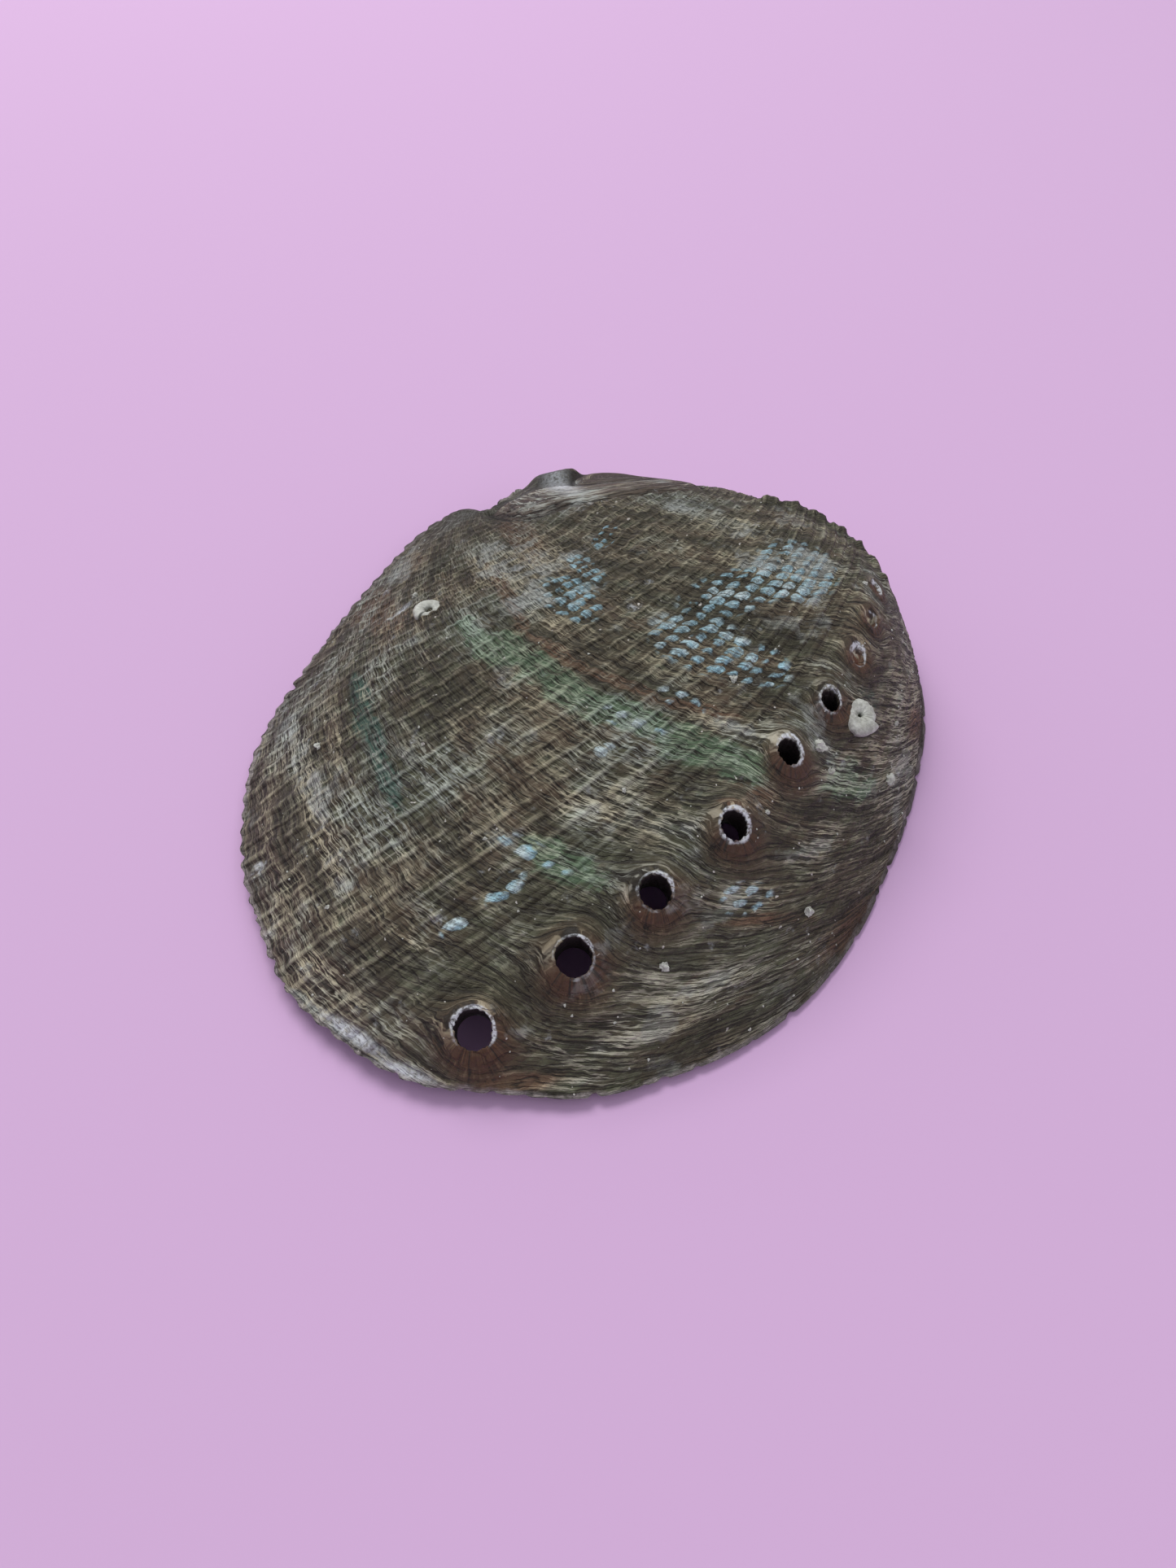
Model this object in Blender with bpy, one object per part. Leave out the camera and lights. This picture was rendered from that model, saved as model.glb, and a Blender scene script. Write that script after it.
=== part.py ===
"""Abalone shell, modelled as a height field over its outline.

Lengths are in millimetres until a mesh is made. +X is the side of the breathing holes, -Y is the growing
front lip, +Y is the spire end and +Z is up. The origin is under the middle of the shell.
"""
import math

import bpy
import numpy as np
from mathutils import Vector
from mathutils.geometry import delaunay_2d_cdt

MM = 0.001

# Outline of the rim, seen from above, from the notch round by the left, the front and the holes' side.
OUTLINE = [
    (-12.2, 34.4), (-14.4, 36.2), (-17.7, 37.2), (-20.6, 35.6), (-23.3, 32.3), (-27.1, 25.7),
    (-30.9, 18.0), (-33.7, 10.5), (-36.1, 2.4), (-37.4, -5.6), (-36.8, -14.0), (-35.0, -22.4),
    (-31.9, -29.5), (-28.3, -36.1), (-23.1, -41.0), (-16.2, -45.2), (-8.4, -46.2), (-1.1, -46.4),
    (5.5, -44.5), (12.1, -41.5), (18.6, -36.6), (24.3, -29.5), (29.1, -20.7), (33.9, -9.5),
    (36.9, 1.2), (37.5, 10.5), (35.8, 20.9), (31.4, 30.0), (24.7, 38.0), (16.4, 43.6),
    (7.2, 46.2), (-2.1, 45.9), (-8.2, 43.6), (-10.4, 40.2),
]
# The same outline with the notch bridged: the dome is shaped over this one, and the notch is cut from it.
# The bridge takes the place of the last outline point and of the first ones, as many as NOTCH_POINTS.
NOTCH_POINTS = 3
BRIDGE = [(-17.2, 39.2), (-13.0, 42.2)]

# Dome: its summit, its height, and how its profile bulges in each direction (degrees: exponent).
SUMMIT = (5.7, 1.2)
HEIGHT = 21.0
BULGE = {
    0: 4.3, 40: 3.4, 50: 2.9, 60: 2.4, 72: 2.15, 95: 2.0, 112: 1.8, 128: 1.4,
    160: 1.6, 190: 2.0, 225: 2.05, 270: 2.2, 315: 2.8,
}

# The end of the lip dips where it meets the notch: place, depth and width of the dip.
NOTCH_DIP = (-13.8, 36.9)
NOTCH_DIP_DEPTH = 1.9
NOTCH_DIP_WIDTH = 2.7

# Rim: how far it lifts off the table at the notch and at the front left (degrees, half width, height).
RIM_LIFTS = [(122.0, 26.0, 2.6), (232.0, 34.0, 1.6)]

# Growth: every older growth line is the rim, shrunk and turned about one centre near the notch.
GROWTH_CENTRE = (-9.2, 35.4)
TURN_LINEAR = 1.642
TURN_SQUARE = 0.938
HOLE_ROW_ANGLE = 264.5
FIRST_RIB_ANGLE = 185.0
OLDEST_LINE = 0.60

# Ribs that follow the growth, and the wall.
RIB_COUNT = 38
RIB_STEPS = 24
RIB_HEIGHT = 0.7
RIB_CLEAR_OF_HOLES = 1.5
RIB_FADE = 3.0
RIB_END_FADE = 0.12
RIB_CENTRE = 6.0
RIB_CENTRE_FADE = 12.0
RIM_SCALLOP = 0.22
PLAIN_RIM_STEPS = 52
WALL = 1.5
LIP_WALL = 1.0
LIP_ROUNDING = 0.3
THINNEST_WALL = 0.8
LEDGE_WIDTH = 5.0
LEDGE_HEIGHT = 2.2
LEDGE_MIDDLE_ANGLE = 352.0
LEDGE_HALF_ANGLE = 62.0
LEDGE_STEPS = 40
LEDGE_ROUNDING = 1.2
LEDGE_FOOT = 1.3
LEDGE_BANK = 1.5
LEDGE_END = 1.6

# How closely the surface points are set: pitch of the even filling, and least gaps between points.
OUTER_PITCH = 2.5
OUTER_GAP = 1.5
INNER_PITCH = 3.4
INNER_GAP = 1.7
LINE_GAP = 0.6
RING_GAP = 0.4
BORE_GAP = 0.3
OUTER_BORE_GAP = 0.6
INNER_BORE_GAP = 1.6
INNER_RIM_GAP = 1.0
LAST_REACH = 0.97
PATTERN_CORNER = (-42.0, -50.0)
PATTERN_SIZE = (90.0, 110.0)

# Ridge that carries the breathing holes.
RIDGE_HEIGHT = 0.9
RIDGE_WIDTH = 3.2
RELIEF_FADE = 0.08

# Open holes: place, bore across, chimney height. Sealed holes: place, width of the pit, depth.
OPEN_HOLES = [
    (-10.7, -42.7, 3.3, 1.3), (-2.3, -38.0, 3.2, 1.3), (4.7, -33.0, 2.9, 1.2),
    (11.8, -27.0, 2.6, 1.1), (17.3, -19.5, 2.6, 1.0), (22.0, -12.7, 2.3, 0.6),
]
SEALED_HOLES = [(25.5, -6.6, 1.9, 0.9), (27.4, -1.9, 1.6, 0.8), (28.9, 3.6, 1.4, 0.6)]
OLD_LUMPS = [
    (31.2, 8.2), (30.5, 11.0), (29.2, 13.7), (27.2, 15.7), (24.6, 16.7), (21.9, 17.2), (19.2, 17.6),
]
LUMP_HEIGHT = 1.0
LUMP_WIDTH = 1.2
PIT_LIP = 0.7
PIT_LIP_SPREAD = 1.3
PIT_SPREAD = 0.55
PIT_RINGS = (0.0, 0.6, 1.15, 2.0)
PIT_SIDES = 8
CHIMNEY_SPREAD = 1.9
CHIMNEY_RINGS = (0.5, 1.5, 2.8)
CHIMNEY_FOOT = 2.6
BORE_SIDES = 16
BORE_EDGE = 0.25
SLOPE_STEP = 0.5

# Spire: a low coil behind the notch.
SPIRE_APEX = (3.0, 31.5)
SPIRE_TOP = (-2.2, 38.4)
SPIRE_RISE = 0.8
SPIRE_WIDTH = 6.2
SPIRE_LENGTHENING = 1.25
SPIRE_SHOULDER = 4.0
SPIRE_END = (-5.4, 37.4)
SPIRE_END_RISE = 1.3
SPIRE_END_WIDTH = 3.2
SPIRE_END_SHOULDER = 6.0
SPIRE_FOOT = (-11.6, 33.6)
SPIRE_FOOT_DEPTH = 0.8
SPIRE_FOOT_WIDTH = 2.6
SUTURE_START_ANGLE = 184.5
SUTURE_START_RADIUS = 16.2
SUTURE_RATE = 0.16
SUTURE_TURNS = 1.5
SUTURE_DEPTH = 0.9
SUTURE_WIDTH = 1.0
SUTURE_SHALLOWING = 0.75
SUTURE_STEPS = 60
SUTURE_BANK = 1.7

# Worm tubes: place, turn of the mouth in degrees, radius of the coil.
WORM_TUBES = {"worm_tube_left": (-17.9, 3.3, 225.0, 1.25), "worm_tube_right": (25.1, -11.9, 330.0, 1.25)}
TUBE_MOUTH = 0.78
TUBE_TIP = 0.3
TUBE_SWEEP = 330.0
TUBE_STEPS = 26
TUBE_SIDES = 10
TUBE_LIFT = 0.45
TUBE_WINDING_IN = 0.3
TUBE_FOOTING = 0.6

SHELL_COLOUR = (0.115, 0.105, 0.062, 1.0)
TUBE_COLOUR = (0.55, 0.56, 0.52, 1.0)


def closed_curve(angles, values):
    """A smooth periodic curve through values at the given angles, as a function of the angle."""
    order = np.argsort(angles)
    a = np.asarray(angles, float)[order]
    v = np.asarray(values, float)[order]
    a = np.concatenate([a[-2:] - 2 * np.pi, a, a[:3] + 2 * np.pi])
    v = np.concatenate([v[-2:], v, v[:3]])
    slope = (v[2:] - v[:-2]) / (a[2:] - a[:-2])

    def value(angle):
        w = a[2] + (np.asarray(angle, float) - a[2]) % (2 * np.pi)
        i = np.clip(np.searchsorted(a, w, side="right") - 1, 1, len(a) - 3)
        h = a[i + 1] - a[i]
        t = (w - a[i]) / h
        m0 = slope[i - 1] * h
        m1 = slope[i] * h
        t2 = t * t
        t3 = t2 * t
        return ((2 * t3 - 3 * t2 + 1) * v[i] + (t3 - 2 * t2 + t) * m0
                + (3 * t2 - 2 * t3) * v[i + 1] + (t3 - t2) * m1)

    return value


def polar_about(centre, points):
    p = np.asarray(points, float) - np.asarray(centre, float)
    return np.arctan2(p[:, 1], p[:, 0]) % (2 * np.pi), np.hypot(p[:, 0], p[:, 1])


RIM_RADIUS = closed_curve(*polar_about(SUMMIT, OUTLINE))
FORM_RADIUS = closed_curve(*polar_about(SUMMIT, OUTLINE[NOTCH_POINTS:-1] + BRIDGE))
LIP_RADIUS = closed_curve(*polar_about(GROWTH_CENTRE, OUTLINE[NOTCH_POINTS:-1] + BRIDGE))
BULGE_AT = closed_curve(np.radians(list(BULGE)), list(BULGE.values()))


def angle_gap(angle, degrees):
    """Signed difference between an angle in radians and one in degrees, in radians."""
    return (np.asarray(angle) - math.radians(degrees) + np.pi) % (2 * np.pi) - np.pi


def growth_point(label, age):
    """A point on the growth line of the given age, on the rib that meets the rim at this angle."""
    turn = TURN_LINEAR * age + TURN_SQUARE * age * age
    radius = LIP_RADIUS(label) * np.exp(-age)
    x = GROWTH_CENTRE[0] + radius * np.cos(label + turn)
    y = GROWTH_CENTRE[1] + radius * np.sin(label + turn)
    return x, y


def lift_at(angle):
    """How far the edge of the form is off the table."""
    z = np.zeros(np.shape(angle))
    for degrees, half, lift in RIM_LIFTS:
        z = z + lift * np.exp(-(angle_gap(angle, degrees) / math.radians(half)) ** 2)
    return z


def rim_height(angle):
    """Height of the rim itself, which climbs where the notch cuts into the dome."""
    radius = RIM_RADIUS(angle)
    return np.maximum(dome(SUMMIT[0] + radius * np.cos(angle), SUMMIT[1] + radius * np.sin(angle)), 0.0)


def suture_points(count):
    """The spiral groove from the notch in to the apex of the spire."""
    t = np.linspace(0.0, SUTURE_TURNS * 2 * np.pi, count)
    radius = SUTURE_START_RADIUS * np.exp(-SUTURE_RATE * t)
    angle = math.radians(SUTURE_START_ANGLE) + t
    return SPIRE_APEX[0] + radius * np.cos(angle), SPIRE_APEX[1] + radius * np.sin(angle)


def distance_to(px, py, x, y):
    """Shortest distance from each point to a dense row of points."""
    best = np.full(np.shape(x), 1e9)
    for a, b in zip(px, py):
        best = np.minimum(best, np.hypot(x - a, y - b))
    return best


def ridge_line():
    ages = np.linspace(0.0, OLDEST_LINE, 60)
    return growth_point(math.radians(HOLE_ROW_ANGLE), ages)


def dome(x, y):
    """The smooth outer form, with no ribs, ridge or holes."""
    dx = x - SUMMIT[0]
    dy = y - SUMMIT[1]
    angle = np.arctan2(dy, dx)
    reach = np.hypot(dx, dy) / FORM_RADIUS(angle)
    edge = lift_at(angle)
    dip = np.hypot(x - NOTCH_DIP[0], y - NOTCH_DIP[1]) / NOTCH_DIP_WIDTH
    form = edge + (HEIGHT - edge) * (1.0 - np.clip(reach, 0.0, 1.0) ** BULGE_AT(angle))
    return form - NOTCH_DIP_DEPTH * np.exp(-dip ** 2)


def slope_at(x, y):
    """How much the dome climbs for each millimetre towards +X and towards +Y."""
    step = SLOPE_STEP
    gx = float(dome(x + step, y) - dome(x - step, y)) / (2 * step)
    gy = float(dome(x, y + step) - dome(x, y - step)) / (2 * step)
    return gx, gy


def gap_on_slope(place, slope, x, y):
    """Distance from a place, measured along the slope that the surface has there."""
    dx = x - place[0]
    dy = y - place[1]
    return np.sqrt(dx * dx + dy * dy + (dx * slope[0] + dy * slope[1]) ** 2)


def ring_on_slope(place, slope, radius, count):
    """A circle that is round as it lies on the slope, seen from above."""
    steep = math.hypot(slope[0], slope[1])
    up_x = slope[0] / steep
    up_y = slope[1] / steep
    t = np.arange(count) * 2 * np.pi / count
    along = radius * np.cos(t) / math.sqrt(1.0 + steep * steep)
    across = radius * np.sin(t)
    return place[0] + along * up_x - across * up_y, place[1] + along * up_y + across * up_x


RIDGE_X, RIDGE_Y = ridge_line()
SUTURE_X, SUTURE_Y = suture_points(150)
SLOPE_OF = {place[:2]: slope_at(*place[:2]) for place in OPEN_HOLES + SEALED_HOLES + OLD_LUMPS}


def suture_share(x, y):
    """How much of the suture's depth is cut at each point: it is deepest at the notch."""
    share = np.zeros(np.shape(x))
    for place, (a, b) in zip(np.linspace(0.0, 1.0, len(SUTURE_X)), zip(SUTURE_X, SUTURE_Y)):
        near = np.exp(-(np.hypot(x - a, y - b) / SUTURE_WIDTH) ** 2)
        share = np.maximum(share, (1.0 - SUTURE_SHALLOWING * place) * near)
    return share


def outer_height(x, y):
    """Height of the outer surface, without its ribs."""
    x = np.asarray(x, float)
    y = np.asarray(y, float)
    z = dome(x, y)
    angle = np.arctan2(y - SUMMIT[1], x - SUMMIT[0])
    inside = 1.0 - np.clip(np.hypot(x - SUMMIT[0], y - SUMMIT[1]) / RIM_RADIUS(angle), 0.0, 1.0)
    fade = np.clip(inside / RELIEF_FADE, 0.0, 1.0)
    z = z + RIDGE_HEIGHT * fade * np.exp(-(distance_to(RIDGE_X, RIDGE_Y, x, y) / RIDGE_WIDTH) ** 2)
    spire = np.hypot((x - SPIRE_TOP[0]) / SPIRE_LENGTHENING, y - SPIRE_TOP[1])
    z = z + SPIRE_RISE * fade * np.exp(-(spire / SPIRE_WIDTH) ** SPIRE_SHOULDER)
    end = np.hypot(x - SPIRE_END[0], y - SPIRE_END[1]) / SPIRE_END_WIDTH
    z = z + SPIRE_END_RISE * fade * np.exp(-end ** SPIRE_END_SHOULDER)
    foot = np.hypot(x - SPIRE_FOOT[0], y - SPIRE_FOOT[1]) / SPIRE_FOOT_WIDTH
    z = z - SPIRE_FOOT_DEPTH * fade * np.exp(-foot ** 2)
    z = z - SUTURE_DEPTH * fade * suture_share(x, y)
    for hx, hy, bore, rise in OPEN_HOLES:
        gap = np.clip(gap_on_slope((hx, hy), SLOPE_OF[hx, hy], x, y) - 0.5 * bore, 0.0, None)
        z = z + rise * np.exp(-(gap / CHIMNEY_SPREAD) ** 2)
    for hx, hy, width, depth in SEALED_HOLES:
        gap = gap_on_slope((hx, hy), SLOPE_OF[hx, hy], x, y) / width
        z = z + PIT_LIP * np.exp(-(gap / PIT_LIP_SPREAD) ** 2)
        z = z - (depth + PIT_LIP) * np.exp(-(gap / PIT_SPREAD) ** 2)
    for hx, hy in OLD_LUMPS:
        gap = gap_on_slope((hx, hy), SLOPE_OF[hx, hy], x, y)
        z = z + LUMP_HEIGHT * np.exp(-(gap / LUMP_WIDTH) ** 2)
    return z


def ledge_share(angle):
    """How much of the inner ledge is present in a direction: 1 along the holes' side, 0 elsewhere."""
    gap = np.abs(angle_gap(angle, LEDGE_MIDDLE_ANGLE)) / math.radians(LEDGE_HALF_ANGLE)
    return np.clip(LEDGE_END * (1.0 - gap), 0.0, 1.0)


def wall_foot(angle):
    """How far from the summit the hollow ends: at the lip, or at the inner edge of the ledge."""
    return FORM_RADIUS(angle) - LIP_WALL - LIP_ROUNDING - LEDGE_WIDTH * ledge_share(angle)


def inner_height(x, y):
    """Height of the smooth inner surface."""
    x = np.asarray(x, float)
    y = np.asarray(y, float)
    dx = x - SUMMIT[0]
    dy = y - SUMMIT[1]
    angle = np.arctan2(dy, dx)
    radius = np.hypot(dx, dy)
    share = ledge_share(angle)
    edge = lift_at(angle)
    reach = np.clip(radius / wall_foot(angle), 0.0, 1.0)
    hollow = edge + (HEIGHT - WALL - edge) * (1.0 - reach ** BULGE_AT(angle))
    from_lip = np.clip((FORM_RADIUS(angle) - LIP_WALL - radius) / LEDGE_ROUNDING, 0.0, 1.0)
    ledge = edge + LEDGE_HEIGHT * share * from_lip
    return np.minimum(np.maximum(hollow, ledge), outer_height(x, y) - THINNEST_WALL)


def ribs_on_rim():
    """Labels of rib crests and of the grooves between them, evenly spaced along the lip."""
    fine = np.radians(np.linspace(FIRST_RIB_ANGLE, HOLE_ROW_ANGLE, 400))
    x, y = growth_point(fine, 0.0)
    along = np.concatenate([[0.0], np.cumsum(np.hypot(np.diff(x), np.diff(y)))])
    return np.interp(np.linspace(0.0, along[-1], 2 * RIB_COUNT + 1), along, fine)


def near_holes(x, y, margin):
    for hx, hy, bore, _ in OPEN_HOLES:
        if gap_on_slope((hx, hy), SLOPE_OF[hx, hy], x, y) < 0.5 * bore + margin:
            return True
    return False


class PlanPoints:
    """Points seen from above, with their heights and the edges that the surface must follow."""

    def __init__(self):
        self.xy = []
        self.z = []
        self.edges = []

    def add(self, x, y, z):
        self.xy.append((float(x), float(y)))
        self.z.append(float(z))
        return len(self.xy) - 1

    def gap(self, x, y):
        if not self.xy:
            return 1e9
        p = np.asarray(self.xy)
        return float(np.hypot(p[:, 0] - x, p[:, 1] - y).min())

    def add_loop(self, xs, ys, zs):
        ids = [self.add(x, y, z) for x, y, z in zip(xs, ys, zs)]
        self.edges += list(zip(ids, ids[1:] + ids[:1]))
        return ids

    def add_apart(self, xs, ys, height, least):
        """Add the points that are at least this far from all earlier ones."""
        for x, y in zip(xs, ys):
            if self.gap(x, y) > least and rim_reach(x, y) < LAST_REACH and not near_holes(x, y, BORE_GAP):
                self.add(x, y, height(x, y))

    def link(self, a, b):
        """Make the surface follow the line from a to b, unless it would cross another such line."""
        p = np.asarray(self.xy)
        e = np.asarray([edge for edge in self.edges if not {a, b} & set(edge)])
        if len(e):
            side_a = side_of(p[e[:, 0]], p[e[:, 1]], p[a])
            side_b = side_of(p[e[:, 0]], p[e[:, 1]], p[b])
            side_c = side_of(p[a], p[b], p[e[:, 0]])
            side_d = side_of(p[a], p[b], p[e[:, 1]])
            if np.any((side_a * side_b < 1e-9) & (side_c * side_d < 1e-9)):
                return
        self.edges.append((a, b))


def side_of(start, end, point):
    """Which side of a line a point is on, as a signed area."""
    return ((end[..., 0] - start[..., 0]) * (point[..., 1] - start[..., 1])
            - (end[..., 1] - start[..., 1]) * (point[..., 0] - start[..., 0]))


def rim_loop():
    """Outer rim: scalloped by the ribs on the lip, plain round the holes' side and the back."""
    labels = ribs_on_rim()
    x, y = growth_point(labels, 0.0)
    angles = np.arctan2(y - SUMMIT[1], x - SUMMIT[0]) % (2 * np.pi)
    scallop = np.where(np.arange(len(labels)) % 2 == 0, RIM_SCALLOP, -RIM_SCALLOP)
    start = angles[-1]
    end = angles[0] + 2 * np.pi
    count = PLAIN_RIM_STEPS
    rest = start + (end - start) * np.arange(1, count) / count
    angles = np.concatenate([angles, rest])
    scallop = np.concatenate([scallop, np.zeros(len(rest))])
    return angles, scallop


def triangles_of(points, keep):
    """Constrained triangulation of the plan, keeping the triangles whose middle passes the test."""
    verts = [Vector(p) for p in points.xy]
    out = delaunay_2d_cdt(verts, points.edges, [], 0, 1e-6)
    if len(out[0]) != len(verts):
        raise RuntimeError("outline edges cross")
    faces = []
    for face in out[2]:
        a, b, c = [points.xy[i] for i in face]
        mx = (a[0] + b[0] + c[0]) / 3.0
        my = (a[1] + b[1] + c[1]) / 3.0
        area = (b[0] - a[0]) * (c[1] - a[1]) - (b[1] - a[1]) * (c[0] - a[0])
        if abs(area) > 1e-9 and keep(mx, my):
            faces.append(tuple(face) if area > 0 else tuple(reversed(face)))
    return faces


def inside_ring(ring, x, y):
    """Whether a point lies inside a closed ring of points."""
    inside = False
    for (ax, ay), (bx, by) in zip(ring, ring[1:] + ring[:1]):
        if (ay > y) != (by > y) and x < ax + (bx - ax) * (y - ay) / (by - ay):
            inside = not inside
    return inside


def rib_relief(x, y, age, crest):
    """Raised on a crest, lowered in a groove, and gone beside the row of holes and on the oldest part."""
    gap = distance_to(RIDGE_X, RIDGE_Y, np.array([x]), np.array([y]))[0]
    strength = min(1.0, max(0.0, (gap - RIB_CLEAR_OF_HOLES) / RIB_FADE))
    strength = strength * min(1.0, (OLDEST_LINE - age) / RIB_END_FADE)
    from_centre = math.hypot(x - GROWTH_CENTRE[0], y - GROWTH_CENTRE[1])
    strength = strength * min(1.0, max(0.0, (from_centre - RIB_CENTRE) / RIB_CENTRE_FADE))
    return RIB_HEIGHT * strength * (0.5 if crest else -0.5)


def bore_ring(hole, reach):
    place = hole[:2]
    return ring_on_slope(place, SLOPE_OF[place], 0.5 * hole[2] + reach, BORE_SIDES)


def outer_points():
    points = PlanPoints()
    angles, scallop = rim_loop()
    radius = RIM_RADIUS(angles) + scallop
    rim = points.add_loop(SUMMIT[0] + radius * np.cos(angles), SUMMIT[1] + radius * np.sin(angles),
                          rim_height(angles))
    bores = []
    for hole in OPEN_HOLES:
        x, y = bore_ring(hole, 0.0)
        bores.append(points.add_loop(x, y, outer_height(x, y) - BORE_EDGE))
    for hole in OPEN_HOLES:
        for reach in CHIMNEY_RINGS:
            x, y = bore_ring(hole, reach)
            points.add_apart(x, y, outer_height, RING_GAP)
    for hx, hy, width, _ in SEALED_HOLES:
        for share in PIT_RINGS:
            x, y = ring_on_slope((hx, hy), SLOPE_OF[hx, hy], share * width, PIT_SIDES)
            points.add_apart(x, y, outer_height, RING_GAP)
    for place in OLD_LUMPS:
        for reach in (0.0, LUMP_WIDTH):
            x, y = ring_on_slope(place, SLOPE_OF[place], reach, PIT_SIDES)
            points.add_apart(x, y, outer_height, RING_GAP)
    add_suture(points)
    add_ribs(points)
    add_fill(points)
    return points, rim, bores


def add_suture(points):
    """The spiral groove: its bottom and both banks, each a line that the surface follows."""
    x, y = suture_points(SUTURE_STEPS)
    step = np.hypot(np.gradient(x), np.gradient(y))
    across_x = -np.gradient(y) / step
    across_y = np.gradient(x) / step
    for side in (0.0, -SUTURE_BANK, SUTURE_BANK):
        last = None
        for px, py in zip(x + side * across_x, y + side * across_y):
            if points.gap(px, py) < LINE_GAP or rim_reach(px, py) > LAST_REACH:
                last = None
                continue
            here = points.add(px, py, outer_height(px, py))
            if last is not None:
                points.link(last, here)
            last = here


def rim_reach(x, y):
    angle = math.atan2(y - SUMMIT[1], x - SUMMIT[0])
    return math.hypot(x - SUMMIT[0], y - SUMMIT[1]) / float(RIM_RADIUS(angle))


def add_ribs(points):
    """Crest and groove lines from the lip back towards the notch, as far as they stay apart."""
    labels = ribs_on_rim()
    ages = np.linspace(0.0, OLDEST_LINE, RIB_STEPS + 1)[1:]
    for i, label in enumerate(labels[:-1]):
        xs, ys = growth_point(label, ages)
        zs = outer_height(xs, ys)
        last = None
        for x, y, z, age in zip(xs, ys, zs, ages):
            if rim_reach(x, y) > LAST_REACH or near_holes(x, y, CHIMNEY_FOOT) or points.gap(x, y) < LINE_GAP:
                last = None
                continue
            here = points.add(x, y, z + rib_relief(x, y, age, i % 2 == 0))
            if last is not None:
                points.link(last, here)
            last = here


def even_pattern(pitch):
    """Rows of points set like the cells of a honeycomb, over more than the whole outline."""
    row = pitch * math.sqrt(0.75)
    for j in range(int(PATTERN_SIZE[1] / row)):
        for i in range(int(PATTERN_SIZE[0] / pitch)):
            yield PATTERN_CORNER[0] + (i + 0.5 * (j % 2)) * pitch, PATTERN_CORNER[1] + j * row


def add_fill(points):
    """Fill what is still empty of the outer surface with an even pattern of points."""
    for x, y in even_pattern(OUTER_PITCH):
        if rim_reach(x, y) > LAST_REACH or near_holes(x, y, OUTER_BORE_GAP):
            continue
        if points.gap(x, y) > OUTER_GAP:
            points.add(x, y, outer_height(x, y))


def inner_points(angles):
    points = PlanPoints()
    radius = RIM_RADIUS(angles) - LIP_WALL
    rim = points.add_loop(SUMMIT[0] + radius * np.cos(angles), SUMMIT[1] + radius * np.sin(angles),
                          rim_height(angles))
    bores = []
    for hole in OPEN_HOLES:
        x, y = bore_ring(hole, 0.0)
        lean = bore_lean(hole)
        x = x + lean[0]
        y = y + lean[1]
        bores.append(points.add_loop(x, y, inner_height(x, y)))
    add_ledge(points)
    add_inner_fill(points)
    return points, rim, bores


def add_ledge(points):
    """The foot of the ledge by the rim, its inner edge, and a line just up the wall from that."""
    angles = np.radians(LEDGE_MIDDLE_ANGLE + np.linspace(-LEDGE_HALF_ANGLE, LEDGE_HALF_ANGLE, LEDGE_STEPS))
    rise = LEDGE_HEIGHT * ledge_share(angles) / (HEIGHT - WALL)
    edge = wall_foot(angles) * (1.0 - rise) ** (1.0 / BULGE_AT(angles))
    for line in (RIM_RADIUS(angles) - LIP_WALL - LEDGE_FOOT, edge, edge - LEDGE_BANK):
        last = None
        for a, r in zip(angles, line):
            x = SUMMIT[0] + r * math.cos(a)
            y = SUMMIT[1] + r * math.sin(a)
            if points.gap(x, y) < LINE_GAP:
                last = None
                continue
            here = points.add(x, y, inner_height(x, y))
            if last is not None:
                points.link(last, here)
            last = here


def add_inner_fill(points):
    for x, y in even_pattern(INNER_PITCH):
        angle = math.atan2(y - SUMMIT[1], x - SUMMIT[0])
        room = float(RIM_RADIUS(angle)) - LIP_WALL - math.hypot(x - SUMMIT[0], y - SUMMIT[1])
        if room > INNER_RIM_GAP and not near_holes(x, y, INNER_BORE_GAP) and points.gap(x, y) > INNER_GAP:
            points.add(x, y, inner_height(x, y))


def bore_lean(hole):
    """Where the bore comes out inside: it runs square to the slope, so uphill from where it starts."""
    gx, gy = SLOPE_OF[hole[:2]]
    long = math.sqrt(1.0 + gx * gx + gy * gy)
    return WALL * gx / long, WALL * gy / long


def shell_mesh():
    """Outer skin, inner skin, the rim between them and the wall of each bore."""
    outer, outer_rim, outer_bores = outer_points()
    angles, _ = rim_loop()
    inner, inner_rim, inner_bores = inner_points(angles)
    outline = [outer.xy[i] for i in outer_rim]
    rings = [[outer.xy[i] for i in ring] for ring in outer_bores]
    inner_outline = [inner.xy[i] for i in inner_rim]
    inner_rings = [[inner.xy[i] for i in ring] for ring in inner_bores]
    top = triangles_of(outer, lambda x, y: inside_ring(outline, x, y)
                       and not any(inside_ring(r, x, y) for r in rings))
    below = triangles_of(inner, lambda x, y: inside_ring(inner_outline, x, y)
                         and not any(inside_ring(r, x, y) for r in inner_rings))
    shift = len(outer.xy)
    verts = [(x * MM, y * MM, z * MM) for (x, y), z in zip(outer.xy, outer.z)]
    verts += [(x * MM, y * MM, z * MM) for (x, y), z in zip(inner.xy, inner.z)]
    faces = list(top)
    faces += [tuple(shift + i for i in reversed(face)) for face in below]
    faces += loop_strip(outer_rim, [shift + i for i in inner_rim], False)
    for ring, far in zip(outer_bores, inner_bores):
        faces += loop_strip(ring, [shift + i for i in far], True)
    return verts, faces


def loop_strip(near, far, inward):
    """Triangles between two rings with the same number of points."""
    faces = []
    for i in range(len(near)):
        j = (i + 1) % len(near)
        pair = [(near[i], far[i], far[j]), (near[i], far[j], near[j])]
        if inward:
            pair = [tuple(reversed(face)) for face in pair]
        faces += pair
    return faces


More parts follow.
